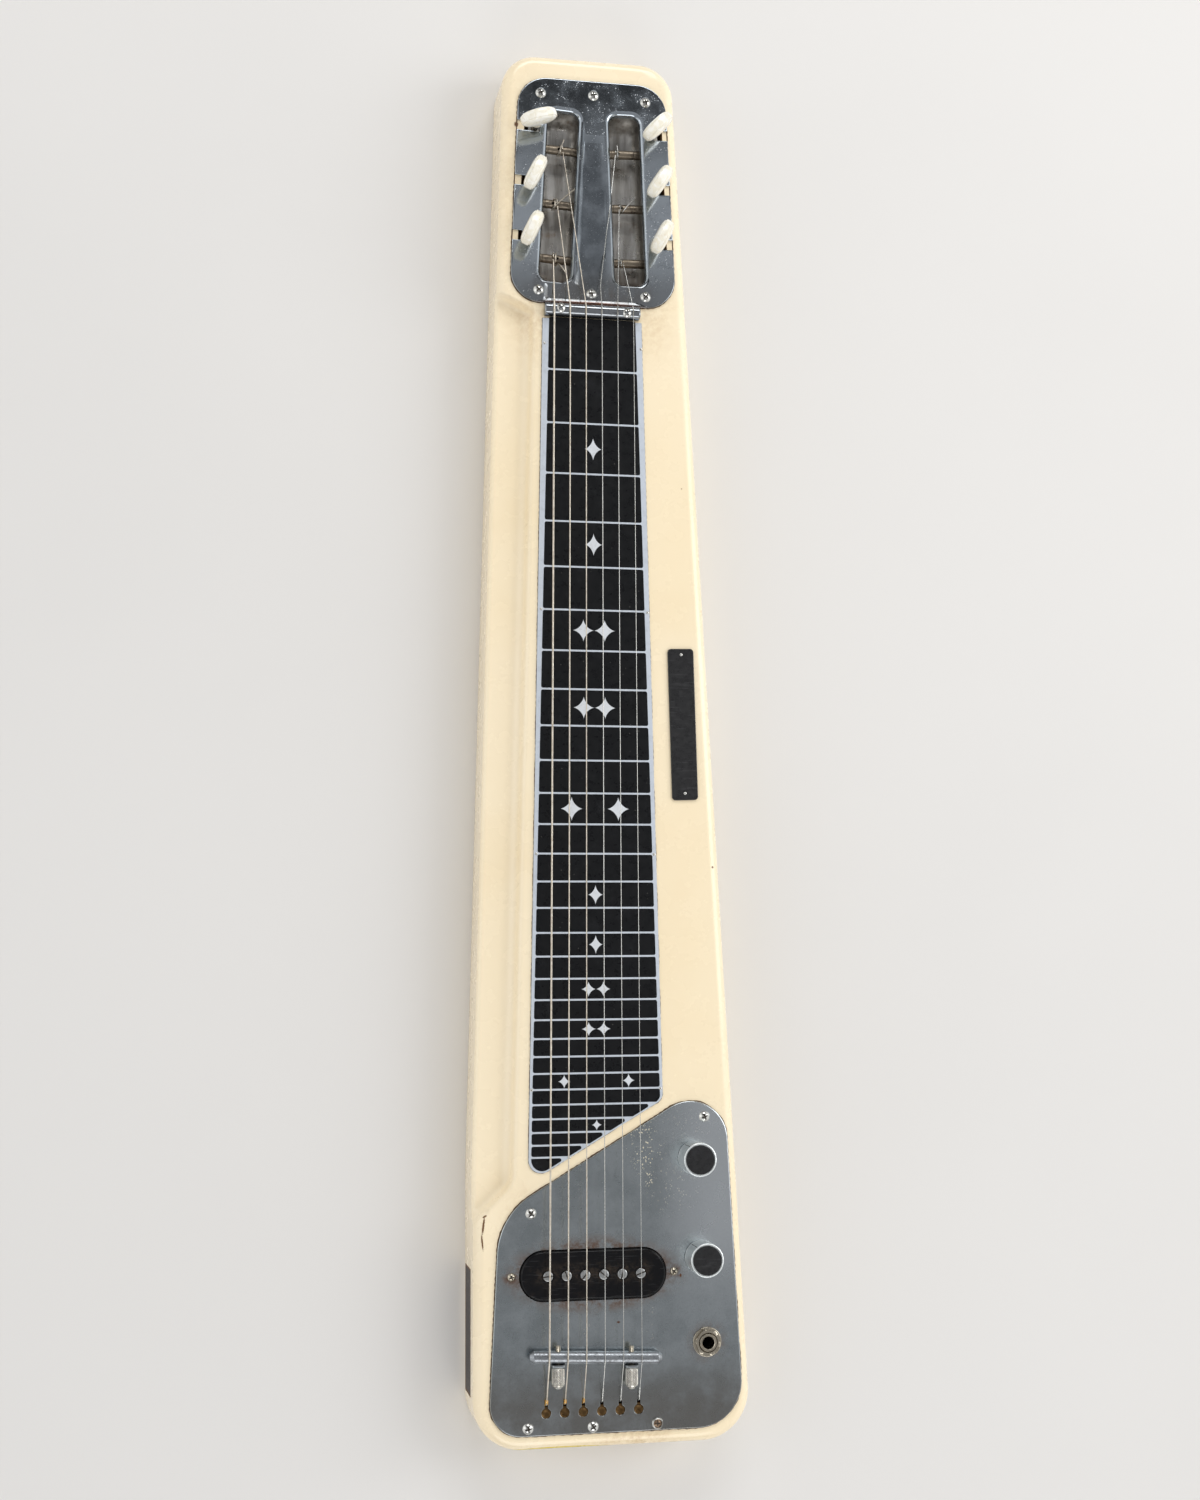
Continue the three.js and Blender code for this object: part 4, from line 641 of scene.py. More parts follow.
def turned(profile, sides=48, x=0.0, y=0.0):
    """A surface of revolution round Z; profile runs from the foot to the top as (radius, height)."""
    verts, faces, rings = [], [], []
    for radius, height in profile:
        if radius < 1e-6:
            rings.append([len(verts)])
            verts.append((x, y, height))
        else:
            rings.append(list(range(len(verts), len(verts) + sides)))
            verts += level(circle(x, y, radius, sides), height)
    for low, high in zip(rings, rings[1:]):
        for k in range(sides):
            j = (k + 1) % sides
            if len(low) == 1 and len(high) == 1:
                continue
            if len(low) == 1:
                faces.append((low[0], high[j], high[k]))
            elif len(high) == 1:
                faces.append((low[k], low[j], high[0]))
            else:
                faces.append((low[k], low[j], high[j], high[k]))
    return verts, faces


def fillet(cx, cz, radius, start, end, steps=5):
    """Points on an arc in a (radius, height) profile; angles in degrees."""
    return [(cx + radius * math.cos(math.radians(lerp(start, end, i / steps))),
             cz + radius * math.sin(math.radians(lerp(start, end, i / steps)))) for i in range(steps + 1)]


def rounded(corners, steps=8):
    """An outline through corners [x, y, radius]."""
    points = []
    for i, (x, y, radius) in enumerate(corners):
        corner = Vector((x, y))
        back = (Vector(corners[i - 1][:2]) - corner).normalized()
        ahead = (Vector(corners[(i + 1) % len(corners)][:2]) - corner).normalized()
        if radius <= 0:
            points.append((x, y))
            continue
        half = math.acos(max(-1, min(1, back.dot(ahead)))) / 2
        start = corner + back * (radius / math.tan(half))
        end = corner + ahead * (radius / math.tan(half))
        centre = corner + (back + ahead).normalized() * (radius / math.sin(half))
        from_turn = math.atan2(start.y - centre.y, start.x - centre.x)
        sweep = math.atan2(end.y - centre.y, end.x - centre.x) - from_turn
        sweep = (sweep + PI) % (2 * PI) - PI
        for k in range(steps + 1):
            turn = from_turn + sweep * k / steps
            points.append((centre.x + radius * math.cos(turn), centre.y + radius * math.sin(turn)))
    return points


def rectangle(left, foot, right, top, radius, steps=8):
    return rounded([(left, foot, radius), (right, foot, radius), (right, top, radius), (left, top, radius)],
                   steps)


def circle(x, y, radius, sides=28, turn=0.0):
    return [(x + radius * math.cos(2 * PI * k / sides + turn),
             y + radius * math.sin(2 * PI * k / sides + turn))
            for k in range(sides)]


def area(points):
    return sum(a[0] * b[1] - b[0] * a[1] for a, b in zip(points, points[1:] + points[:1])) / 2


def wound(points, left_turning=True):
    return points if (area(points) > 0) == left_turning else points[::-1]


def inset(points, distance):
    """Moves each point to the left of the outline's way round."""
    moved = []
    for i, (x, y) in enumerate(points):
        before, after = points[i - 1], points[(i + 1) % len(points)]
        a = Vector((x - before[0], y - before[1])).normalized()
        b = Vector((after[0] - x, after[1] - y)).normalized()
        normal = Vector((-a.y - b.y, a.x + b.x))
        if normal.length < 1e-6:
            normal = Vector((-a.y, a.x))
        normal.normalize()
        reach = distance / max(normal.dot(Vector((-a.y, a.x))), 0.5)
        moved.append((x + normal.x * reach, y + normal.y * reach))
    return moved


def inside(loops, points):
    """Even-odd test of many points against several outlines."""
    points = np.asarray(points, float)
    hit = np.zeros(len(points), bool)
    for loop in loops:
        ring = np.asarray(loop, float)
        for (x0, y0), (x1, y1) in zip(ring, np.roll(ring, -1, axis=0)):
            if y0 == y1:
                continue
            crosses = ((y0 > points[:, 1]) != (y1 > points[:, 1]))
            hit ^= crosses & (points[:, 0] < (x1 - x0) * (points[:, 1] - y0) / (y1 - y0) + x0)
    return hit


def fill(loops, extra=()):
    """Triangles between outlines: returns points, faces; the loops' points keep their order."""
    coords, edges = [], []
    for loop in loops:
        start = len(coords)
        coords += [Vector(p) for p in loop]
        edges += [(start + i, start + (i + 1) % len(loop)) for i in range(len(loop))]
    coords += [Vector(p) for p in extra]
    verts, _, faces, origins, _, _ = delaunay_2d_cdt(coords, edges, [], 0, 1e-5)
    points = [tuple(p) for p in coords]
    index = []
    for v, origin in zip(verts, origins):
        if origin:
            index.append(origin[0])
        else:
            index.append(len(points))
            points.append(tuple(v))
    centres = [tuple(sum((Vector(verts[i]) for i in face), Vector((0, 0))) / len(face)) for face in faces]
    keep = inside(loops, centres)
    result = []
    for face, wanted in zip(faces, keep):
        if wanted:
            face = [index[i] for i in face]
            if area([points[i] for i in face]) < 0:
                face.reverse()
            result.append(tuple(face))
    return points, result


def edge_profile(foot, face, radius, steps=3, land=0.3):
    """(inset, height) pairs from the foot over a rounded edge to the face."""
    profile = [(0.0, foot)]
    for i in range(steps + 1):
        turn = PI / 2 * i / steps
        profile.append((radius * (1 - math.cos(turn)), face - radius * (1 - math.sin(turn))))
    return profile + [(radius + land, face)]


def sheet(loops, profiles, spacing=None, drop=None):
    """A plate between outlines; profiles holds each one's (inset, height) pairs from back to face."""
    loops = [wound(loop, i == 0) for i, loop in enumerate(loops)]
    verts, faces, feet, tops = [], [], [], []
    for loop, profile in zip(loops, profiles):
        start, count = len(verts), len(loop)
        for reach, height in profile:
            verts += level(inset(loop, reach), height)
        faces += [tuple(start + i for i in face) for face in grid_faces(len(profile), count)]
        feet.append(range(start, start + count))
        tops.append(range(start + (len(profile) - 1) * count, start + len(profile) * count))
    for rims, upward in ((tops, True), (feet, False)):
        outlines = [[verts[i][:2] for i in rim] for rim in rims]
        extra = []
        if upward and spacing:
            xs, ys = zip(*outlines[0])
            extra = [(x, y) for x in np.arange(min(xs), max(xs), spacing)
                     for y in np.arange(min(ys), max(ys), spacing)]
            shrunk = [inset(outline, spacing * 0.4) for outline in outlines]
            extra = [p for p, ok in zip(extra, inside(shrunk, extra)) if ok]
        points, made = fill(outlines, extra)
        known = [i for rim in rims for i in rim]
        height = verts[rims[0][0]][2]
        for p in points[len(known):]:
            known.append(len(verts))
            verts.append((p[0], p[1], height))
        faces += [tuple(known[i] for i in (face if upward else face[::-1])) for face in made]
    if drop:
        verts = [(x, y, z - drop(x, y)) for x, y, z in verts]
    return verts, faces


def slab(outline, foot, face, radius=0.25, steps=2):
    return sheet([outline], [edge_profile(foot, face, radius, steps, 0.02)])


def tube(points, radius, sides=12, caps=True, radii=None):
    across = Vector((1, 0, 0))
    rings = []
    for i, p in enumerate(points):
        along = (Vector(points[min(i + 1, len(points) - 1)]) - Vector(points[max(i - 1, 0)])).normalized()
        across = (across - along * across.dot(along)).normalized()
        up = along.cross(across)
        r = radii[i] if radii else radius
        rings.append([tuple(Vector(p) + across * (r * math.cos(2 * PI * k / sides))
                            + up * (r * math.sin(2 * PI * k / sides))) for k in range(sides)])
    return loft(rings, caps)


def smoothed(points, reach, steps=5):
    """Rounds a route's corners with short curves."""
    out = [Vector(points[0])]
    for before, corner, after in zip(points, points[1:], points[2:]):
        before, corner, after = Vector(before), Vector(corner), Vector(after)
        r = min(reach, (before - corner).length * 0.45, (after - corner).length * 0.45)
        a = corner + (before - corner).normalized() * r
        b = corner + (after - corner).normalized() * r
        for i in range(steps + 1):
            t = i / steps
            out.append(a * (1 - t) ** 2 + corner * (2 * t * (1 - t)) + b * t * t)
    return [tuple(p) for p in out + [Vector(points[-1])]]


def box(left, front, low, right, back, high, radius=0.15):
    return slab([(left, front), (right, front), (right, back), (left, back)], low, high, radius)


def cutter(name, outline, low, high, material=None):
    """A closed prism to be taken away from a piece; its material shows on the cut faces."""
    outline = wound(outline)
    n = len(outline)
    verts = level(outline, low) + level(outline, high)
    faces = [tuple(range(n))[::-1], tuple(range(n, 2 * n))]
    faces += [(k, (k + 1) % n, n + (k + 1) % n, n + k) for k in range(n)]
    mesh = bpy.data.meshes.new(name)
    mesh.from_pydata([place(v) for v in verts], [], faces)
    mesh.materials.append(material or WOOD)
    obj = bpy.data.objects.new(name, mesh)
    bpy.context.scene.collection.objects.link(obj)
    return obj


def carve(obj, tools):
    """Subtracts closed meshes from a piece and keeps the result as its mesh."""
    for tool in tools:
        step = obj.modifiers.new("cut", "BOOLEAN")
        step.operation, step.solver, step.object = "DIFFERENCE", "EXACT", tool
        step.material_mode = "TRANSFER"
    bpy.context.view_layer.update()
    result = bpy.data.meshes.new_from_object(obj.evaluated_get(bpy.context.evaluated_depsgraph_get()))
    obj.modifiers.clear()
    old = obj.data
    obj.data = result
    result.name = obj.name
    bpy.data.meshes.remove(old)
    for tool in tools:
        bpy.data.objects.remove(tool)
    result.polygons.foreach_set("use_smooth", [True] * len(result.polygons))
    result.set_sharp_from_angle(angle=math.radians(32))


def cross_outline(arm, half):
    quarter = [(arm, -half), (arm, half), (half, half)]
    quarter_turns = ((1, 0), (0, 1), (-1, 0), (0, -1))
    return [(x * c - y * s, x * s + y * c) for c, s in quarter_turns for x, y in quarter]


HEADS = {}


def screw_head(profile, outline, depth):
    """Verts, faces and cut flags of a turned head at the origin with a recess; each kind is carved once."""
    key = (tuple(profile), tuple(outline), depth)
    if key not in HEADS:
        obj = Shape().add(*turned(profile, 40), SCREW).object("head_blank", None)
        top = profile[-1][1]
        carve(obj, [cutter("recess", outline, top - depth, top + 2, RECESS_GRIME_AND_SHADE)])
        verts = [(v.co.x / MM - SHIFT_X, v.co.y / MM - SHIFT_Y, v.co.z / MM) for v in obj.data.vertices]
        dark = [m.name for m in obj.data.materials].index(RECESS_GRIME_AND_SHADE.name)
        HEADS[key] = (verts, [(tuple(f.vertices), f.material_index == dark) for f in obj.data.polygons])
        mesh = obj.data
        bpy.data.objects.remove(obj)
        bpy.data.meshes.remove(mesh)
    return HEADS[key]


def add_head(shape, x, y, z, turn, head, material):
    verts, faces = head
    spin = Matrix.Translation((x, y, z)) @ Matrix.Rotation(turn, 4, "Z")
    verts = [tuple(spin @ Vector(v)) for v in verts]
    shape.add(verts, [f for f, dark in faces if not dark], material)
    shape.add(verts, [f for f, dark in faces if dark], RECESS_GRIME_AND_SHADE)


def shank(radius, foot, top, x, y):
    """The straight part of a screw under its head."""
    return turned([(0, foot), (radius, foot), (radius, top), (0, top)], 16, x, y)


def move_tool(tool, matrix):
    """Moves a cutter that was drawn at the origin; the matrix is in drawing millimetres."""
    for vertex in tool.data.vertices:
        local = Vector((vertex.co.x / MM - SHIFT_X, vertex.co.y / MM - SHIFT_Y, vertex.co.z / MM))
        vertex.co = place(matrix @ local)


def dome_screw(shape, x, y, seat_z, radius, height, material, turn=0.3, depth=1.0):
    """A domed head with a cross recess."""
    sphere = (radius ** 2 + height ** 2) / (2 * height)
    sweep = math.asin(radius / sphere)
    profile = [(0, -0.25), (radius, -0.25), (radius, 0)]
    profile += [(sphere * math.sin(sweep * (1 - i / 8)),
                 height - sphere * (1 - math.cos(sweep * (1 - i / 8))))
                for i in range(1, 8)]
    profile.append((0, height))
    head = screw_head(profile, cross_outline(radius * 0.6, radius * 0.13), depth)
    add_head(shape, x, y, seat_z, turn, head, material)


def pin(shape, x, y, seat_z, radius=0.75, height=0.35, material=None):
    profile = [(0, seat_z - 0.2), (radius, seat_z - 0.2), (radius, seat_z)]
    profile += fillet(0, seat_z, radius, 0, 90, 4)[1:]
    profile = [(r, seat_z + (z - seat_z) * height / radius if z > seat_z else z) for r, z in profile]
    shape.add(*turned(profile[:-1] + [(0, profile[-1][1])], 16, x, y), material or SCREW)


# Body

BODY_THICK = 38.0
HEAD_REACH, TAIL_REACH = 150.3, 617.2
BEND = 470.0
CREST_ENDS = ((1.4, -0.49, 0.4), (-477.8, 0.93, 0.57))


def bass_side(y):
    return -lerp(49.9, 66.5, min((HEAD_REACH - y) / (HEAD_REACH + BEND), 1.0))


def treble_side(y):
    return min(lerp(47.5, 85.4, (HEAD_REACH - y) / (HEAD_REACH + TAIL_REACH)), 84.11)


def rounded_distance(a, b, radius):
    if a >= radius or b >= radius:
        return min(a, b)
    return radius - math.hypot(radius - a, radius - b)


def inside_distance(x, y):
    bass, treble = x - bass_side(y), treble_side(y) - x
    head, tail = HEAD_REACH - y, TAIL_REACH + y
    return min(rounded_distance(bass, head, 19), rounded_distance(treble, head, 19),
               rounded_distance(bass, tail, 26), rounded_distance(treble, tail, 26))


def crest_line(y):
    return bass_side(y) + lerp(22.9, 23.8, (HEAD_REACH - y) / (HEAD_REACH + BEND))


def ledge_distance(x, y):
    across = crest_line(y) - x
    (top, top_slope, top_share), (foot, foot_slope, foot_share) = CREST_ENDS
    below = (top + top_slope * (x - crest_line(top)) - y) / math.hypot(1, top_slope) / top_share
    above = (y - foot - foot_slope * (x - crest_line(foot))) / math.hypot(1, foot_slope) / foot_share
    return min(rounded_distance(across, below, 8), rounded_distance(across, above, 8))


SWEEP = 2 * math.atan(8 / 9.7)
COVE = 9.7 / math.sin(SWEEP) - 3


def ledge_drop(d):
    if d <= 0:
        return 0.0
    if d >= 9.7:
        return 8.0
    if d < 3 * math.sin(SWEEP):
        return 3 - math.sqrt(9 - d * d)
    return 8 - COVE + math.sqrt(max(COVE ** 2 - (9.7 - d) ** 2, 0))


def top_height(x, y):
    drop = ledge_drop(ledge_distance(x, y))
    edge = lerp(6, 2.5, drop / 8)
    return BODY_THICK - drop - arc_inset(edge - max(inside_distance(x, y), 0), edge)


def body_mesh():
    def spread(low, high, steps):
        return [lerp(low, high, i / steps) for i in range(steps + 1)]

    bends = [1 - math.cos(PI / 2 * i / 22) for i in range(23)]
    small = [1 - math.cos(PI / 2 * i / 10) for i in range(11)]
    stations = [HEAD_REACH - 19 * b for b in bends] + [HEAD_REACH - 6 * b for b in small]
    stations += [-TAIL_REACH + 26 * b for b in bends] + [-TAIL_REACH + 6 * b for b in small]
    stations += spread(-24, 15, 60) + spread(-505, -463, 62) + spread(-463, -24, 64) + spread(15, 131, 18)
    stations += spread(-591, -505, 14)
    stations = sorted(set(round(y, 3) for y in stations))
    stations = [y for i, y in enumerate(stations) if i == 0 or y - stations[i - 1] > 0.02 or y > 150.2]
    edges = [1 - math.cos(PI / 2 * i / 12) for i in range(13)]
    rings = []
    for y in stations:
        pull = max(arc_inset(y - HEAD_REACH + 19, 19), arc_inset(-y - TAIL_REACH + 26, 26))
        left, right = bass_side(y) + pull, treble_side(y) - pull
        crest = crest_line(y)
        wanted = [left + 6 * e for e in edges]
        wanted += spread(crest - 15.5, crest - 10.2, 7) + spread(crest - 9.9, crest + 1.2, 24)
        wanted += [lerp(crest + 1.5, right - 6.5, s / 9) for s in range(10)]
        columns = []
        for x in wanted:
            columns.append(max(x, columns[-1] + 0.02) if columns else x)
        columns += [right - 6 * e for e in reversed(edges)]
        top = [(x, y, top_height(x, y)) for x in columns]
        under = [(x, y, arc_inset(3 - max(inside_distance(x, y), 0), 3)) for x in reversed(columns)]
        rings.append(top + under)
    count = len(rings[0])
    half = count // 2
    verts = [p for ring in rings for p in ring]
    faces = grid_faces(len(rings), count)
    for end, reverse in ((0, True), (len(rings) - 1, False)):
        base = end * count
        for k in range(half - 1):
            quad = (base + k, base + k + 1, base + count - 2 - k, base + count - 1 - k)
            faces.append(quad[::-1] if reverse else quad)
    return verts, faces


SIDES = {"left": (-1, 18.6, 0.058, (4, 5, 6)), "right": (1, 20.6, 0.033, (3, 2, 1))}
POST_STEPS = (31.95, 0.0, -31.95)
WORM_OFFSET = 8.1
SHAFT_U = 16.1
POST_AXIS = 29.0


def side_point(side, u, v):
    sign, centre, lean, _ = SIDES[side]
    x, y = sign * u, v
    turn = sign * lean
    return (sign * centre + x * math.cos(turn) - y * math.sin(turn),
            HEAD_MIDDLE + x * math.sin(turn) + y * math.cos(turn))


def side_matrix(side, u=0.0, v=0.0, z=0.0):
    """From a side frame (x outwards, y to the head) to drawing space; the left one is mirrored."""
    sign, centre, lean, _ = SIDES[side]
    turn = Matrix.Rotation(sign * lean, 4, "Z") @ Matrix.Diagonal((sign, 1, 1, 1))
    return Matrix.Translation((sign * centre, HEAD_MIDDLE, 0)) @ turn @ Matrix.Translation((u, v, z))


def side_loop(side, points):
    return [side_point(side, u, v) for u, v in points]


def add_in_side(shape, side, verts, faces, material, matrix):
    """Adds a mesh drawn in a side frame; a mirrored frame turns its faces round."""
    verts = [tuple(matrix @ Vector(v)) for v in verts]
    if SIDES[side][0] < 0:
        faces = [face[::-1] for face in faces]
    shape.add(verts, faces, material)


def make_body():
    shape = Shape().add(*body_mesh(), CREAM)
    body = shape.object("painted_body", "frame", "body", "cream_paint")
    tools = []
    for side in SIDES:
        pocket = rectangle(-14, -52.15, 22, 55.35, 6)
        tools.append(cutter(f"pocket_{side}", side_loop(side, pocket), 18, 45))
    tools.append(cutter("band", [(-26.9, 5.4), (26.9, 5.4), (26.9, 102.9), (-26.9, 102.9)], 37, 45))
    pickup = rectangle(-2.4 - 49.2, PICKUP_Y - 14.6, -2.4 + 49.2, PICKUP_Y + 14.6, 14.4, 10)
    tools.append(cutter("pickup_cavity", pickup, 19, 45))
    tools.append(cutter("pot_cavity", rectangle(40, -583, 70.2, -450, 8), 9, 45))
    tools.append(cutter("anchor_pocket", rectangle(-34, -601, 28, -588.5, 1.9), 29, 45))
    side = bass_side(-524)
    recess = [(side - 3, -590.7), (side + 1.4, -590.7), (side + 1.4, -523.7), (side - 3, -523.7)]
    tools.append(cutter("pad_recess", recess, 3.2, 25.3))
    carve(body, tools)
    return body


make_body()

pad_left = bass_side(-524)
side_pad = Shape()
side_pad.add(*sheet([[(-590.4, 3.5), (-524, 3.5), (-524, 25), (-590.4, 25)]],
                    [edge_profile(0, 1.2, 0.4, 4)], 4.0),
             PAD)
side_pad.verts = [(pad_left + 1.2 - z, x, y) for x, y, z in side_pad.verts]
side_pad.faces = [face[::-1] for face in side_pad.faces]
side_pad.object("side_strip", "frame", "side_pad", "dark_strip")


# Head plate

HEAD_FACE = 39.4
head_outline = rounded([(0.7 - 47.6, 5.7, 17), (0.7 + 47.6, 5.7, 17), (0.7 + 42.1, 136, 17),
                        (0.7 - 42.1, 136, 17)], 16)
press_loop = [(-26.6, -20), (26.6, -20), (26.6, 17), (8.8, 17), (6.6, 102.6), (-4.9, 102.6), (-9.2, 17),
              (-26.6, 17)]


def press_drop(x, y):
    """How far the plate is pressed down here: 1 mm in the string channel, with sloped walls."""
    if y > 105 or abs(x) > 29:
        return 0.0
    within = inside([press_loop], [(x, y)])[0]
    nearest = 1e9
    for (ax, ay), (bx, by) in zip(press_loop, press_loop[1:] + press_loop[:1]):
        t = ((x - ax) * (bx - ax) + (y - ay) * (by - ay)) / ((bx - ax) ** 2 + (by - ay) ** 2)
        t = min(max(t, 0.0), 1.0)
        nearest = min(nearest, math.hypot(x - ax - t * (bx - ax), y - ay - t * (by - ay)))
    d = nearest if within else -nearest
    return smooth((d + 0.5) / 1.5)


def make_head_plate():
    outline = wound(head_outline)
    for side, (sign, _, _, _) in SIDES.items():
        for step in POST_STEPS:
            v = step + WORM_OFFSET
            mouth = [side_point(side, 13.2, v - 2.8), side_point(side, 13.2, v + 2.8)]
            far = [side_point(side, 60, v - 2.8), side_point(side, 60, v + 2.8)]
            if sign > 0:
                inner = [(far[0], mouth[0]), (mouth[1], far[1])]
            else:
                inner = [(far[1], mouth[1]), (mouth[0], far[0])]
            outline = notch(outline, inner)
    wells = [side_loop(side, rectangle(-11.2, 1.6 - 51.75, 11.2, 1.6 + 51.75, 7.5, 10)) for side in SIDES]
    holes = [circle(x, y, 1.6, 20) for x, y in HEAD_SCREWS]
    roll = 2.5
    rim = [(0.6, PLATE_BACK), (-1.7, 36.6), (-1.7, 36.2), (-roll, 36.2)]
    rim += [(-roll * math.cos(PI / 2 * i / 8),
             HEAD_FACE - roll * (1 - math.sin(PI / 2 * i / 8))) for i in range(9)]
    rim += [(0.3, HEAD_FACE)]
    profiles = [edge_profile(PLATE_BACK, HEAD_FACE, 0.45, 3), rim, rim]
    profiles += [edge_profile(PLATE_BACK, HEAD_FACE, 0.2, 2)] * len(holes)
    shape = Shape().add(*sheet([outline, *wells, *holes], profiles, 1.4, press_drop), CHROME)
    return shape.object("head_cover", "frame", "head_plate", "head_chrome", 40)


def cross_point(p, q, a, b):
    """Where segment pq crosses segment ab, as (share along pq, point) or None."""
    d = (q[0] - p[0]) * (b[1] - a[1]) - (q[1] - p[1]) * (b[0] - a[0])
    if abs(d) < 1e-9:
        return None
    t = ((a[0] - p[0]) * (b[1] - a[1]) - (a[1] - p[1]) * (b[0] - a[0])) / d
    s = ((a[0] - p[0]) * (q[1] - p[1]) - (a[1] - p[1]) * (q[0] - p[0])) / d
    if 0 <= t <= 1 and 0 <= s <= 1:
        return t, (p[0] + t * (q[0] - p[0]), p[1] + t * (q[1] - p[1]))
    return None


def notch(outline, lines):
    """Replaces the stretch of a left-turning outline between two inward lines with the notch they bound."""
    hits = []
    for a, b in lines:
        for i in range(len(outline)):
            hit = cross_point(outline[i], outline[(i + 1) % len(outline)], a, b)
            if hit:
                hits.append((i, hit[0], hit[1]))
                break
    (i, _, p), (j, _, q) = hits
    (_, inner_a), (inner_b, _) = lines
    middle = [p, inner_a, inner_b, q]
    if (i, hits[0][1]) <= (j, hits[1][1]):
        return outline[:i + 1] + middle + outline[j + 1:]
    return outline[j + 1:i + 1] + middle


SCREW_SHANK, SCREW_FOOT = 1.3, 36
HEAD_SCREWS = [(-29, 126.9), (1.2, 127.6), (31.3, 125.9), (-30.5, 12.8), (-0.3, 12.3), (30.5, 12)]
make_head_plate()

head_screws = Shape()
for (x, y), turn in zip(HEAD_SCREWS, (0.5, 0.2, 0.35, 0.75, 0.1, 0.9)):
    drop = press_drop(x, y)
    head_screws.add(*shank(SCREW_SHANK, SCREW_FOOT, HEAD_FACE - drop, x, y), NICKEL)
    dome_screw(head_screws, x, y, HEAD_FACE + 0.05 - drop, 3.0, 1.5, SCREW, turn)
head_screws.object("head_plate_screws", "frame", slot="nickel")


# Troughs, posts, worms, buttons


def tub_section(v, half, foot, top, bend, low_end, high_end):
    """Half of a tub's cross-section at v as (u, z) from the middle of the floor to the rim."""
    reach = 8.0
    into = max(low_end + reach - v, v - high_end + reach, 0) / reach
    share = math.sqrt(max(1 - min(into, 1.0) ** 2, 0.0))
    width = half - 6.5 * (1 - share)
    floor = top - (top - foot) * share
    bend = min(bend, top - floor, width)
    return [(0.0, floor)] + [(width - bend + bend * math.sin(t), floor + bend - bend * math.cos(t))
                             for t in [PI / 2 * i / 14 for i in range(15)]] + [(width, top)]


def make_trough(side):
    half, wall, foot, top, bend = 11.5, 1.2, 18.2, 36.1, 9.0
    low_end, high_end = -51.0, 54.2
    stations = [low_end + 8 * (1 - math.cos(PI / 2 * i / 12)) for i in range(13)]
    stations += [lerp(low_end + 8, high_end - 8, i / 24) for i in range(1, 25)]
    stations += [high_end - 8 * (1 - math.sin(PI / 2 * i / 12)) for i in range(1, 13)]
    rings = []
    for v in stations:
        outer = tub_section(v, half + wall, foot, top, bend, low_end, high_end)
        inner = tub_section(v, half, foot + wall, top, bend - wall, low_end + wall, high_end - wall)
        ring = [(-u, z) for u, z in reversed(outer)] + outer[1:]
        ring += list(reversed(inner)) + [(-u, z) for u, z in inner[1:]]
        rings.append([(u, v, z) for u, z in ring])
    verts, faces = loft(rings, caps=False, flip=True)
    shape = Shape()
    matrix = side_matrix(side)
    add_in_side(shape, side, verts, faces, TROUGH, matrix)
    for step in POST_STEPS:
        v = step + WORM_OFFSET
        for root, high in ((12.1, 36.1), (10.6, 23.1)):
            verts, faces = box(root, v - 3.6, high - 1.2, SHAFT_U + 3.4, v + 3.6, high)
            add_in_side(shape, side, verts, faces, TROUGH, matrix)
    piece = shape.object(f"trough_{side}", "frame", f"tuner_channel_{side}", "tuner_steel")
    tools = []
    for step in POST_STEPS:
        tool = cutter("post_hole", circle(0, 0, 2.2, 24), -14, 14, TROUGH)
        move_tool(tool, side_matrix(side, 0, step, POST_AXIS) @ Matrix.Rotation(PI / 2, 4, "Y"))
        if SIDES[side][0] < 0:
            tool.data.flip_normals()
        tools.append(tool)
        tools.append(cutter("shaft_hole", circle(*side_point(side, SHAFT_U, step + WORM_OFFSET), 1.9, 20),
                            19, 40, TROUGH))
    carve(piece, tools)


GEAR_TEETH, GEAR_RADIUS = 15, 5.7
TOOTH_FOOT, TOOTH_TIP = 0.81, 0.19
POST_RADIUS, GAP = 2.5, 0.3
WINDING_TURNS, WINDING_GAP = 1.75, 0.5


def gear_mesh(u):
    root, tip, worm_radius = 4.7, 6.4, 2.4
    teeth = GEAR_TEETH
    twist = (2 * PI * GEAR_RADIUS / teeth) / (2 * PI * worm_radius * GEAR_RADIUS)
    corners = [(root, -TOOTH_FOOT / root), (tip, -TOOTH_TIP / tip), (tip, TOOTH_TIP / tip),
               (root, TOOTH_FOOT / root)]
    rings = []
    for share in (-1, -0.34, 0.34, 1):
        at = share * 1.5
        ring = []
        for i in range(teeth):
            middle = (i + 0.5) * 2 * PI / teeth + twist * at
            ring += [(u + at, r * math.cos(middle + a), r * math.sin(middle + a)) for r, a in corners]
        rings.append(ring)
    return loft(rings)


def along_x(mesh):
    verts, faces = mesh
    return [(z, y, -x) for x, y, z in verts], faces


STRING_DIAMETERS = (0.33, 0.38, 0.46, 0.61, 0.76, 0.97)
POST_STRING_X = (19.1, 17.2, 15.3, -15.5, -18.7, -21)
WINDING_WAYS = (-1, 1, 1, 1, 1, -1)
BUTTON_TURNS = (63, 57, 45, 18, 64, 65)
NUT_FLOOR = 43.6


def string_x(n, y):
    share = -y / BRIDGE_REACH
    return share * -2.9 + (3.5 - n) * lerp(9, 9.96, share)


def winding_reach(n):
    return POST_RADIUS + GAP + STRING_DIAMETERS[n - 1] / 2


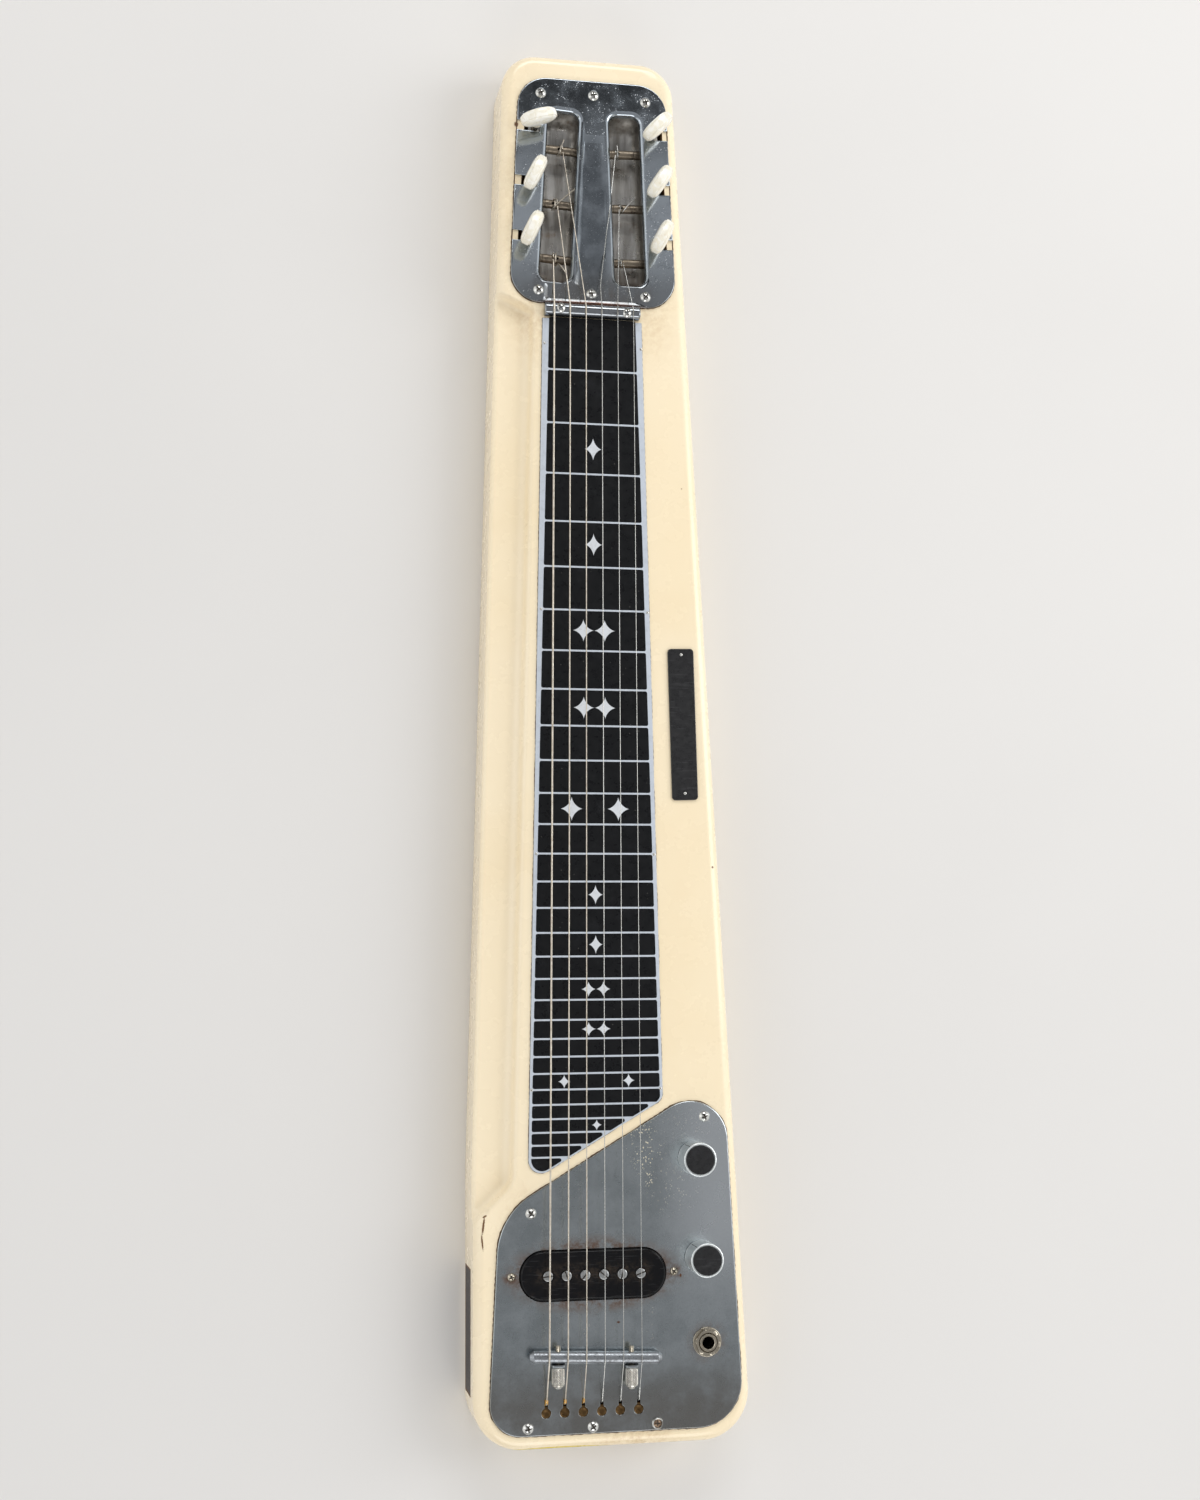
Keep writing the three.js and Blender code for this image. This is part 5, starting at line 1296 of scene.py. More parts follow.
def nut_to_ridge(n):
    radius = STRING_DIAMETERS[n - 1] / 2
    leave = Vector((string_x(n, 0), 3.4, NUT_FLOOR + GAP + radius))
    height = HEAD_FACE + GAP + radius
    ridge = {3: [(8.3, 48.8), (9.9, 59.4)], 4: [(-8.2, 35.6), (-9, 42)]}.get(n, [])
    ridge = [Vector((x, y, height)) for x, y in ridge]
    tongue = []
    if n == 3:
        share = (16 - leave.y) / (ridge[0].y - leave.y)
        tongue = [Vector((3.9, 16, lerp(leave.z, height, share)))]
    return [leave, *tongue, *ridge]


def wire_looks(n):
    """The material and the slot of a string: 4 to 6 are wound."""
    return (WOUND, "wound_string") if n > 3 else (PLAIN, "plain_string")


def side_of(n):
    return "right" if n < 4 else "left"


def post_v(n):
    return POST_STEPS[SIDES[side_of(n)][3].index(n)]


def head_run(n):
    side, v = side_of(n), post_v(n)
    diameter = STRING_DIAMETERS[n - 1]
    probe = side_matrix(side).inverted() @ Vector((POST_STRING_X[n - 1], HEAD_MIDDLE + v, POST_AXIS))
    u = probe.x
    post = side_matrix(side) @ Vector((u, v, POST_AXIS))
    corners = nut_to_ridge(n)
    start = corners[-1]
    reach = winding_reach(n)
    span = math.hypot(post.x - start.x, post.y - start.y)
    slope = math.atan2(start.z - POST_AXIS, span) - math.asin(reach / math.hypot(span, start.z - POST_AXIS))
    touch = span + reach * math.sin(slope)
    outer = math.hypot(diameter, reach + diameter / 2) + 0.35
    back = math.sqrt(outer ** 2 - (reach - diameter / 2) ** 2)
    stop = touch - back * math.cos(slope)
    end = start.lerp(post, stop / span)
    end.z = start.z - stop * math.tan(slope)
    return u, slope, [*corners, end]


FREE_ENDS = {1: (16.5, 40.5, 33.6), 2: (26.0, 71.3, 36.0), 3: (15.6, 101.5, 34.4), 4: (-15.0, 102.5, 34.8),
             5: (-7.9, 74.2, 37.4), 6: (-14.4, 24.0, 36.8)}


def free_end(n, start, ahead, matrix):
    """The cut end of a string beyond its last turn, bent as in the photograph."""
    goal = matrix.inverted() @ Vector(FREE_ENDS[n])
    first = start + ahead * 2.0
    middle = first.lerp(goal, 0.45) + Vector((0, 0, 0.8 if n in (2, 5, 6) else 0.3))
    points = []
    for i in range(1, 13):
        t = i / 12
        points.append(start * (1 - t) ** 3 + first * (3 * t * (1 - t) ** 2)
                      + middle * (3 * t * t * (1 - t)) + goal * t ** 3)
    return points


def make_post(n):
    side, v = side_of(n), post_v(n)
    matrix = side_matrix(side, 0, v, POST_AXIS)
    hole_u = head_run(n)[0] + WINDING_WAYS[n - 1] * WINDING_TURNS * (STRING_DIAMETERS[n - 1] + WINDING_GAP)
    post = Shape()
    shoulder, end = 11.2, 13.5
    profile = [(0, -end), (1.6, -end), (1.9, -end + 0.3), (1.9, -shoulder), (2.3, -shoulder),
               (POST_RADIUS, -shoulder + 0.25)]
    for at in (-6.8, 6.8):
        profile += [(POST_RADIUS, at - 0.5), (2.36, at - 0.3), (2.36, at + 0.3), (POST_RADIUS, at + 0.5)]
    profile += [(POST_RADIUS, shoulder - 0.25), (2.3, shoulder), (1.9, shoulder), (1.9, 18.1), (1.6, 18.4),
                (0, 18.4)]
    add_in_side(post, side, *along_x(turned(profile, 40)), POST, matrix)
    add_in_side(post, side, *gear_mesh(SHAFT_U), POST, matrix)
    piece = post.object(f"post_bar_{n}", f"post_{n}", f"tuner_post_{n}", "tuner_steel")
    # The string hole's walls are near-black: painted shade.
    hole = cutter("string_hole", circle(*side_point(side, hole_u, v), 0.8, 20), 24, 34, HOLE_SHADE_AND_INDEX_BLACK)
    carve(piece, [hole])


def make_turns(n):
    """The turns of string on a post, and the string's cut end."""
    side, v = side_of(n), post_v(n)
    u, slope, _ = head_run(n)
    diameter, way, reach = STRING_DIAMETERS[n - 1], WINDING_WAYS[n - 1], winding_reach(n)
    pitch = diameter + WINDING_GAP
    points = [Vector((0, reach * math.sin(slope), reach * math.cos(slope)))
              - Vector((0, math.cos(slope), -math.sin(slope))) * (0.9 * diameter)]
    turns = WINDING_TURNS * 2 * PI
    steps = 84
    for i in range(steps + 1):
        t = turns * i / steps
        points.append(Vector((t / (2 * PI) * pitch, reach * math.sin(slope + t),
                              reach * math.cos(slope + t))))
    ahead = Vector((0, math.cos(slope + turns), -math.sin(slope + turns)))
    points = [Vector((way * p.x, p.y, p.z)) for p in points]
    points += free_end(n, points[-1], ahead, side_matrix(side, u, v, POST_AXIS))
    wire, slot = wire_looks(n)
    coil = Shape()
    add_in_side(coil, side, *tube([tuple(p) for p in points], diameter / 2, 10), wire,
                side_matrix(side, u, v, POST_AXIS))
    coil.object(f"string_turns_{n}", f"post_{n}", f"string_winding_{n}", slot)


def make_worm(n):
    side, v = side_of(n), post_v(n)
    worm = Shape()
    place_worm = side_matrix(side, SHAFT_U, v + WORM_OFFSET, POST_AXIS)
    lead = 2 * PI * GEAR_RADIUS / GEAR_TEETH
    low, high = 23.1 - 1.2 - 1.4 - POST_AXIS, 50.65 - POST_AXIS
    thread = 1.25 * lead + TOOTH_FOOT
    profile = [(0, low), (1.35, low), (1.6, low + 0.25), (1.6, -thread), (1.4, -thread), (1.4, thread),
               (1.6, thread), (1.6, high - 0.25), (1.35, high), (0, high)]
    add_in_side(worm, side, *turned(profile, 32), NICKEL, place_worm)
    ridge = []
    for i in range(61):
        turn = (i / 24 - 1.25) * 2 * PI
        height, angle = turn / (2 * PI) * lead, turn - PI / 2
        share = min(1, i / 3, (60 - i) / 3)
        tip = lerp(1.5, 3.1, share)
        section = [(1.2, -TOOTH_FOOT), (1.2, TOOTH_FOOT), (tip, TOOTH_TIP), (tip, -TOOTH_TIP)]
        ridge.append([(r * math.cos(angle), r * math.sin(angle), height + rise) for r, rise in section])
    add_in_side(worm, side, *loft(ridge), NICKEL, place_worm)
    worm.object(f"worm_shaft_{n}", f"worm_{n}", f"tuner_worm_{n}", "nickel")


def make_button(n):
    side, v = side_of(n), post_v(n)
    button = Shape()
    rows = [(-4.0, 0.0), (-3.97, 0.16), (-3.88, 0.34), (-3.7, 0.52), (-3.45, 0.67), (-3.15, 0.78),
            (-2.8, 0.86), (-2.45, 0.9), (-2.2, 0.905), (-2.12, 0.9), (-2.0, 0.972), (-1.8, 0.986),
            (-1.0, 0.997), (0.0, 1.0)]
    rows += [(-a, s) for a, s in reversed(rows[:-1])]
    sides = 64
    rings = []
    for a, s in rows:
        pinch = (1 - s) * 6.25
        long_reach, high_reach = (max(10.5 - pinch * 1.35, 0), max(6.08 - pinch, 0)) if s else (0.01, 0.01)
        angles = [2 * PI * k / sides for k in range(sides)]
        rings.append([(long_reach * math.cos(t), a, -high_reach * math.sin(t)) for t in angles])
    button.add(*loft(rings), PEARL)
    neck = [(0, -8.45), (2.7, -8.45), (3.0, -8.15), (3.0, -6.4), (2.75, -5.8), (2.75, -3.2), (0, -3.2)]
    button.add(*turned(neck, 36), NECK)
    x, y = side_point(side, SHAFT_U, v + WORM_OFFSET)
    turn = math.radians(BUTTON_TURNS[n - 1])
    button.moved(Matrix.Translation((x, y, HEAD_FACE + 13)) @ Matrix.Rotation(turn, 4, "Z"))
    button.object(f"pearl_button_{n}", f"worm_{n}", f"tuner_button_{n}", "pearl", 24)


def make_tuner(n):
    make_post(n)
    make_turns(n)
    make_worm(n)
    make_button(n)


for side in SIDES:
    make_trough(side)
for n in range(1, 7):
    make_tuner(n)


# Nut and fretboard


def make_nut():
    under, top = PLATE_BACK, 44.0
    profile = [(-2, under), (4.9, under), (4.9, top - 3)]
    bends = [PI / 2 * i / 10 for i in range(11)]
    profile += [(4.9 - 3 + 3 * math.cos(t), top - 3 + 3 * math.sin(t)) for t in bends[1:]]
    profile += [(1.0 - 3 * math.sin(t), top - 3 + 3 * math.cos(t)) for t in bends]
    left, right = -27.6, 26.8
    centre = (1.45, 41.0)
    rings = [(left, 0.7), (left + 0.12, 0.4), (left + 0.5, 0.08), (left + 0.9, 0)]
    rings += [(lerp(left + 0.9, right - 0.9, i / 40), 0) for i in range(1, 40)]
    rings += [(right - 0.9, 0), (right - 0.5, 0.08), (right - 0.12, 0.4), (right, 0.7)]
    made = []
    for x, shrink in rings:
        ring = []
        for y, z in profile:
            dy, dz = centre[0] - y, centre[1] - z
            length = math.hypot(dy, dz)
            ring.append((x, y + dy / length * shrink, z + dz / length * shrink))
        made.append(ring)
    shape = Shape().add(*loft(made), NUT)
    nut = shape.object("nut_bar", "frame", "nut", "head_chrome")
    tools = []
    for n in range(1, 7):
        x, half = string_x(n, 0), STRING_DIAMETERS[n - 1] / 2 + 0.2
        tools.append(cutter("slot", [(x - half, -4), (x + half, -4), (x + half, 7), (x - half, 7)],
                            NUT_FLOOR, 46, NICKEL))
    carve(nut, tools)
    screws = Shape()
    for x, y, turn in ((-18.6, 1.8, 0.6), (19, 1.0, 0.2)):
        screws.add(*shank(1.5, 41.5, 43.6, x, y), NICKEL)
        dome_screw(screws, x, y, 43.3, 2.9, 1.5, SCREW, turn)
    screws.object("nut_screws", "frame", slot="nickel")
    # A dark strip in the gap between the nut and the head plate: painted shade, partly dirt.
    brown_mark = Shape()
    brown_mark.add(*box(-27, 4.95, 38.05, 26.4, 5.65, 38.35, 0.05), EDGE_DIRT_AND_SHADE)
    brown_mark.object("nut_gap_dirt_and_shade", "frame", slot="tuner_steel")


make_nut()

board_outline = rounded([(-28.2, -3, 0), (-37.4, -478, 7), (36.7, -434.9, 6), (28.2, -3, 0)], 10)


def fret_y(n):
    return -SCALE_LENGTH * (1 - 2 ** (-n / 12))


def black_half(y):
    return 24.54 + 13.97 * -y / SCALE_LENGTH


def clip(polygon, clipper):
    """Keeps the part of a polygon inside a convex left-turning outline."""
    result = polygon
    for (ax, ay), (bx, by) in zip(clipper, clipper[1:] + clipper[:1]):
        source, result = result, []
        for i, p in enumerate(source):
            q = source[(i + 1) % len(source)]
            dp = (bx - ax) * (p[1] - ay) - (by - ay) * (p[0] - ax)
            dq = (bx - ax) * (q[1] - ay) - (by - ay) * (q[0] - ax)
            if dp >= 0:
                result.append(p)
            if (dp >= 0) != (dq >= 0):
                t = dp / (dp - dq)
                result.append((p[0] + t * (q[0] - p[0]), p[1] + t * (q[1] - p[1])))
        if not result:
            return []
    return result


def soften(polygon, radius):
    """Rounds the sharp corners of a polygon."""
    kept = [p for i, p in enumerate(polygon) if math.dist(p, polygon[i - 1]) > 0.02]
    corners = []
    for i, p in enumerate(kept):
        before, after = kept[i - 1], kept[(i + 1) % len(kept)]
        a = Vector((before[0] - p[0], before[1] - p[1]))
        b = Vector((after[0] - p[0], after[1] - p[1]))
        angle = a.angle(b)
        room = min(a.length, b.length) * 0.45 * math.tan(angle / 2)
        corners.append((*p, min(radius, room) if angle < math.radians(155) else 0))
    return rounded(corners, 4)


def star(x, y, across, along):
    points = []
    for k in range(48):
        t = 2 * PI * k / 48
        c, s = math.cos(t), math.sin(t)
        point = (x + across * math.copysign(abs(c) ** 3.1, c), y + along * math.copysign(abs(s) ** 3.1, s))
        if not points or math.dist(point, points[-1]) > 0.12 and math.dist(point, points[0]) > 0.12:
            points.append(point)
    return points


def make_board():
    board = Shape()
    board.add(*slab(wound(board_outline), PLATE_BACK, 38.92, 0.2), PRINT)
    board.object("board_sheet", "frame", "fretboard", "board_black")
    cells = Shape()
    clipper = wound(rounded([(-26.3, 5, 0), (-36.0, -476.2, 6), (35.3, -434.8, 5), (26.4, 5, 0)], 10))
    for n in range(30):
        top = -2.3 if n == 0 else fret_y(n) - 0.5
        foot = fret_y(n + 1) + 0.5 if n < 29 else -480
        cell = [(-black_half(foot), foot), (black_half(foot), foot), (black_half(top), top),
                (-black_half(top), top)]
        cell = clip(wound(cell), clipper)
        if len(cell) < 3 or abs(area(cell)) < 4:
            continue
        cells.add(*slab(wound(soften(cell, 1.0)), 38.86, 38.96, 0.04, 1), BOARD)
    cells.object("board_cells", "frame", slot="board_black")
    marks = Shape()
    places = [(3, (0,), 5.0, 6.4), (5, (0,), 5.0, 6.4), (7, (-6.0, 6.0), 5.9, 6.2),
              (9, (-6.0, 6.0), 5.9, 6.2), (12, (-13.0, 13.0), 6.2, 6.6), (15, (0,), 4.2, 5.4),
              (17, (0,), 4.0, 5.2), (19, (-4.1, 4.1), 4.0, 4.2), (21, (-4.1, 4.1), 4.0, 3.9),
              (24, (-17.7, 17.7), 3.4, 3.8), (27, (0,), 2.8, 3.0)]
    for fret, middles, across, along in places:
        y = (fret_y(fret - 1) + fret_y(fret)) / 2
        for x in middles:
            marks.add(*slab(wound(star(x, y, across, along)), 38.9, 38.995, 0.02, 1), STAR)
    marks.object("board_stars", "frame", slot="board_black")
    pins = Shape()
    for x, y in ((-27.25, -17.4), (27.8, -18.2), (-29.6, -167.4), (30.4, -167.9), (-32.6, -301.9),
                 (32.9, -302.1), (-35.5, -428.7), (35.4, -429.1), (-15.05, -464.8)):
        pin(pins, x, y, 38.95, 0.85, 0.4)
    pins.object("board_pins", "frame", slot="nickel")


make_board()


# Badge plate


def make_badge():
    outline = rectangle(-7.35, -42.15, 7.35, 42.15, 2, 6)
    verts, faces = sheet([outline], [edge_profile(PLATE_BACK, 39.2, 0.35, 4)])
    turn = Matrix.Translation((49.83, -229.9, 0)) @ Matrix.Rotation(0.023, 4, "Z")
    shape = Shape().add(verts, faces, BADGE).moved(turn)
    shape.object("badge", "frame", "badge_plate", "black_enamel")
    pins = Shape()
    for x, y in ((49.2, -191.1), (50.7, -268.3)):
        pin(pins, x, y, 39.2, 0.9, 0.45)
    pins.object("badge_pins", "frame", slot="nickel")


make_badge()


# Control plate

CONTROL_FACE = 39.4
ROD_AXIS = CONTROL_FACE + 5.4
CONTROL_SCREWS = [(59.6, -444.6), (-36, -493.7), (-37.8, -605.1), (-2.8, -605.7), (32.1, -605.5)]
PICKUP_SCREWS = [(-46.6, PICKUP_Y), (41.8, PICKUP_Y)]
KNOBS = [(53.5, -466.2), (56.8, -519.2)]
JACK = (59.8, -564.3)
BRIDGE_SCREWS = (-22.6, 17)
control_outline = rounded([(-53.2, -494.2, 37), (70.9, -421.4, 21), (80.2, -609.3, 24), (-59, -609.3, 17)],
                          20)


def rod_y(x):
    return ROD_Y - ROD_LEAN * (x - ROD_X)


def keyhole(n):
    """A round hole with a narrow slot towards the bridge."""
    x = string_x(n, KEYHOLE_Y)
    reach = math.asin(0.9 / 2.6)
    points = [(x + 2.6 * math.sin(reach + (2 * PI - 2 * reach) * i / 28),
               KEYHOLE_Y + 2.6 * math.cos(reach + (2 * PI - 2 * reach) * i / 28)) for i in range(29)]
    points += [(x - 0.9 * math.cos(PI * i / 8), -593.2 + 0.9 * math.sin(PI * i / 8)) for i in range(9)]
    return points


def make_control_plate():
    loops = [control_outline, rectangle(-2.4 - 39.9, PICKUP_Y - 13.3, -2.4 + 39.9, PICKUP_Y + 13.3, 13.1, 16)]
    profiles = [edge_profile(PLATE_BACK, CONTROL_FACE, *edge) for edge in ((0.7, 5), (0.4, 3))]
    for x, y in CONTROL_SCREWS + PICKUP_SCREWS:
        loops.append(circle(x, y, 1.6, 20))
        profiles.append(edge_profile(PLATE_BACK, CONTROL_FACE, 0.15, 2))
    for x, y in KNOBS + [JACK]:
        loops.append(circle(x, y, 5.0, 36))
        profiles.append(edge_profile(PLATE_BACK, CONTROL_FACE, 0.15, 2))
    for n in range(1, 7):
        loops.append(keyhole(n))
        profiles.append(edge_profile(PLATE_BACK, CONTROL_FACE, 0.3, 3, 0.1))
    shape = Shape().add(*sheet(loops, profiles), STEEL)
    for x in BRIDGE_SCREWS:
        back, top = rod_y(x) - 3.75, ROD_AXIS + 2.9
        ear = rounded([(x - 3.5, 38.3, 0), (x + 3.5, 38.3, 0), (x + 3.5, top, 1.2), (x - 3.5, top, 1.2)], 5)
        verts, faces = sheet([ear, circle(x, ROD_AXIS, 1.7, 24)],
                             [edge_profile(0, 1.2, 0.2, 2), edge_profile(0, 1.2, 0.1, 1)])
        shape.add([(a, back - c, b) for a, b, c in verts], faces, STEEL)
    shape.object("control_cover", "frame", "control_plate", "dull_plate")


make_control_plate()

dishes = Shape()
for n in range(1, 7):
    dish = [(0, 36.4), (2.2, 36.6), (3.2, 37.3), (3.6, 38.19), (3.0, 38.19), (2.7, 37.6), (1.9, 37.1),
            (0, 36.9)]
    dishes.add(*turned(dish, 32, string_x(n, KEYHOLE_Y), -598.2), DISH)
dishes.object("keyhole_dishes", "frame", slot="dull_plate")

plate_screws = Shape()
for (x, y), turn, worn in zip(CONTROL_SCREWS, (0.4, 0.9, 0.2, 0.6, 0.0), (0, 0, 0, 0, 1)):
    plate_screws.add(*shank(SCREW_SHANK, SCREW_FOOT, CONTROL_FACE, x, y), NICKEL)
    if worn:
        section = [(2.3, 0), (3.0, 0), (3.1, 0.5), (2.7, 1.0), (2.3, 0.9)]
        ring = [(r, CONTROL_FACE + rise) for r, rise in section]
        plate_screws.add(*hoop(ring, 40, x, y), SCREW)
        dome_screw(plate_screws, x, y, CONTROL_FACE + 0.1, 2.35, 0.7, WORN, turn, 0.5)
    else:
        dome_screw(plate_screws, x, y, CONTROL_FACE + 0.05, 3.0, 1.5, SCREW, turn)
for (x, y), turn in zip(PICKUP_SCREWS, (0.3, 1.0)):
    plate_screws.add(*shank(1.2, 33, CONTROL_FACE, x, y), NICKEL)
    dome_screw(plate_screws, x, y, CONTROL_FACE + 0.05, 2.25, 1.3, NICKEL, turn)
plate_screws.object("control_plate_screws", "frame", slot="nickel")


def dirt_and_shade_line(name, outline, width, salt):
    """A thin uneven dark line where a plate's edge meets the paint: partly dirt, partly painted shadow of the
    plate's raised edge.
    """
    outline = wound(outline)
    inner, shape = inset(outline, 0.3), Shape()
    outer = []
    for i, (x, y) in enumerate(inset(outline, -1.0)):
        broad = math.sin(0.31 * x + salt) * math.cos(0.23 * y)
        fine = math.sin(1.3 * x + 1.7 * y + salt)
        share = 0.5 + 0.3 * broad + 0.2 * fine
        ox, oy = outline[i]
        outer.append((ox + (x - ox) * width * share, oy + (y - oy) * width * share))
    n = len(outline)
    verts = []
    for ring, depth in ((outer, 0.0), (inner, 0.0), (inner, 0.12), (outer, 0.12)):
        verts += [(x, y, 38.06 - depth - arc_inset(6 - max(inside_distance(x, y), 0), 6)) for x, y in ring]
    shape.add(verts, grid_faces(4, n) + seam_faces(4, n), EDGE_DIRT_AND_SHADE)
    return shape.object(name, "frame", slot="dark_strip")


def dense(points, step=1.6):
    out = []
    for p, q in zip(points, points[1:] + points[:1]):
        count = max(1, int(math.dist(p, q) / step))
        out += [(lerp(p[0], q[0], i / count), lerp(p[1], q[1], i / count)) for i in range(count)]
    return out


# Painted shadow along the edges of the plates and the board, partly dirt.
dirt_and_shade_line("head_plate_dirt_and_shade", dense(head_outline), 0.7, 1.0)
dirt_and_shade_line("control_plate_dirt_and_shade", dense(control_outline), 0.75, 2.0)
dirt_and_shade_line("board_dirt_and_shade", dense(board_outline), 0.45, 3.0)


# Pickup


def make_pickup():
    profile = [(0, 23), (0, 39.4)]
    bends = [PI / 2 * i / 8 for i in range(9)]
    profile += [(-1.5 * (1 - math.cos(t)), 39.5 + 1.5 * math.sin(t)) for t in bends]
    profile += [(-1.9, 41.0)]
    loops = [rectangle(-42.0, -539.5, 37.2, -513.5, 12.8, 16)]
    profiles = [[(-g, z) for g, z in profile]]
    for n in range(1, 7):
        loops.append(circle(pole_x(n), PICKUP_Y, 3.0, 32))
        profiles.append([(0.0, 23), (0.0, 40.75), (0.06, 40.93), (0.25, 41.0), (0.5, 41.0)])
    shape = Shape().add(*sheet(loops, profiles), PICKUP)
    for x in (-46.3, 41.5):
        shape.add(*box(x - 4, -531.5, 36.4, x + 4, -521.5, 37.9), PICKUP)
    shape.object("pickup_shell", "frame", "pickup_cover", "black_plastic")
    for n, turn in zip(range(1, 7), (20, 75, 140, 50, 110, 5)):
        x = pole_x(n)
        pole = Shape()
        profile = [(0, 25.3), (1.1, 25.3), (1.4, 25.6), (1.4, 39.3), (0, 39.3)]
        pole.add(*turned(profile, 32, x, PICKUP_Y), SCREW)
        profile = [(0, 0), (2.65, 0), (2.65, 2.05), (2.58, 2.22), (2.42, 2.33), (2.1, 2.39), (1.4, 2.4),
                   (0, 2.4)]
        slot = [(-3, -0.35), (3, -0.35), (3, 0.35), (-3, 0.35)]
        add_head(pole, x, PICKUP_Y, 39.3, math.radians(turn), screw_head(profile, slot, 0.7), POLE)
        pole.object(f"pole_{n}_screw", f"pole_{n}", f"pole_screw_{n}", "nickel")


make_pickup()


# Knobs, jack


def make_knobs():
    for name, (x, y) in zip(("volume", "tone"), KNOBS):
        foot, top = 40.2, 54.6
        profile = [(0, 31.4), (2.7, 31.4), (3.0, 31.7), (3.0, 44.8), (6.9, 44.8), (6.9, foot + 0.2),
                   (7.1, foot)]
        profile += [(8.7, foot)] + fillet(8.75, foot + 0.25, 0.25, -90, 0, 4)
        profile += [(9.0, foot + 1.0), (8.93, foot + 1.08), (8.93, foot + 1.2), (9.0, foot + 1.28)]
        profile += [(9.0, top - 0.6)] + fillet(8.5, top - 0.5, 0.5, 0, 90, 6)
        profile += [(8.2, top), (8.1, top - 0.08), (8.05, top - 0.25), (8.05, 53.9), (0, 53.9)]
        shape = Shape().add(*turned(profile, 112, x, y), KNOB)
        mark = math.radians(128)
        line = box(8.92, -0.14, foot + 1.4, 9.02, 0.14, top - 0.6, 0.01)
        spin = Matrix.Translation((x, y, 0)) @ Matrix.Rotation(mark, 4, "Z")
        shape.add([tuple(spin @ Vector(v)) for v in line[0]], line[1], HOLE_SHADE_AND_INDEX_BLACK)
        shape.object(f"{name}_knob_shell", f"{name}_knob_body", f"{name}_knob", "knob_aluminium")
        cap = [(0, 54.0), (7.75, 54.0), (7.75, 54.7)] + fillet(7.6, 54.68, 0.15, 0, 90, 3)
        cap += [(7.2, 54.84), (0, 54.8)]
        insert = Shape().add(*turned(cap, 96, x, y), CAP)
        insert.object(f"{name}_knob_insert", f"{name}_knob_body", f"{name}_knob_cap", "black_plastic")


def make_jack():
    x, y = JACK
    bush = [(3.25, 12), (6.2, 12), (6.4, 12.3), (6.4, 37.6), (4.55, 37.6)]
    z = 37.6
    while z < 42.4:
        bush += [(4.7, z + 0.25), (4.5, z + 0.5)]
        z += 0.5
    bush += [(4.7, 42.75), (4.55, 43.0), (3.6, 43.0), (3.3, 42.7), (3.25, 42.4), (3.25, 38.0)]
    shape = Shape().add(*turned(bush, 64, x, y), NICKEL)
    # The bore's wall is near-black: painted shade.
    shape.add(*turned([(3.25, 38.0), (3.25, 12)], 64, x, y), HOLE_SHADE_AND_INDEX_BLACK)
    shape.object("jack_body", "frame", "jack_socket", "nickel")
    nut = Shape()
    washer = [(5.0, 39.5)] + fillet(7.6, 39.8, 0.3, -90, 90, 6) + [(5.0, 40.1)]
    nut.add(*hoop(washer, 64, x, y), NICKEL)
    sides, twist, rows = 72, 0.35, []
    apothem = 7.4 * math.cos(PI / 6)
    for z, limit in ((40.15, 6.9), (40.55, 7.5), (41.9, 7.5), (42.15, 7.1), (42.35, 6.6)):
        ring = []
        for k in range(sides):
            a = 2 * PI * k / sides
            fold = (a + PI / 6) % (PI / 3) - PI / 6
            r = min(apothem / math.cos(fold), limit)
            ring.append((x + r * math.cos(a + twist), y + r * math.sin(a + twist), z))
        rows.append(ring)
    for r, z in ((5.3, 42.4), (5.0, 42.2), (5.0, 40.15)):
        rows.append(level(circle(x, y, r, sides, twist), z))
    verts, faces = loft(rows, caps=False)
    nut.add(verts, faces + seam_faces(len(rows), sides), NICKEL)
    nut.object("jack_hexagon", "frame", "jack_nut", "nickel")


make_knobs()
make_jack()


# Bridge


def make_bridge():
    half = 71.5 / 2
    profile = [(0, -half), (1.6, -half), (1.95, -half + 0.1), (3.3, -half + 1.95), (ROD_RADIUS, -half + 2.35)]
    profile += [(ROD_RADIUS, lerp(-half + 2.6, half - 2.6, i / 30)) for i in range(31)]
    profile += [(ROD_RADIUS, half - 2.35), (3.3, half - 1.95), (1.95, half - 0.1), (1.6, half), (0, half)]
    verts, faces = along_x(turned(profile, 72))
    turn = Matrix.Translation((ROD_X, ROD_Y, ROD_AXIS)) @ Matrix.Rotation(-ROD_LEAN, 4, "Z")
    shape = Shape().add([tuple(turn @ Vector(v)) for v in verts], faces, ROD)
    rod = shape.object("bridge_bar", "frame", "bridge_rod", "bridge_metal", 25)
    tools = []
    for x in BRIDGE_SCREWS:
        # The holes' walls are near-black: painted shade.
        tool = cutter("rod_hole", circle(0, 0, 1.7, 20), -8, 8, HOLE_SHADE_AND_INDEX_BLACK)
        move_tool(tool, Matrix.Translation((x, rod_y(x), ROD_AXIS)) @ Matrix.Rotation(PI / 2, 4, "X"))
        tools.append(tool)
    for n in range(1, 7):
        x = string_x(n, -BRIDGE_REACH)
        y = rod_y(x)
        groove = [(x - 0.6, y - 5), (x + 0.6, y - 5), (x + 0.6, y + 5), (x - 0.6, y + 5)]
        tools.append(cutter("groove", groove, ROD_AXIS + 3.3, ROD_AXIS + 6, ROD))
    carve(rod, tools)
    for name, x in zip(("left", "right"), BRIDGE_SCREWS):
        make_thumb_screw(name, x)


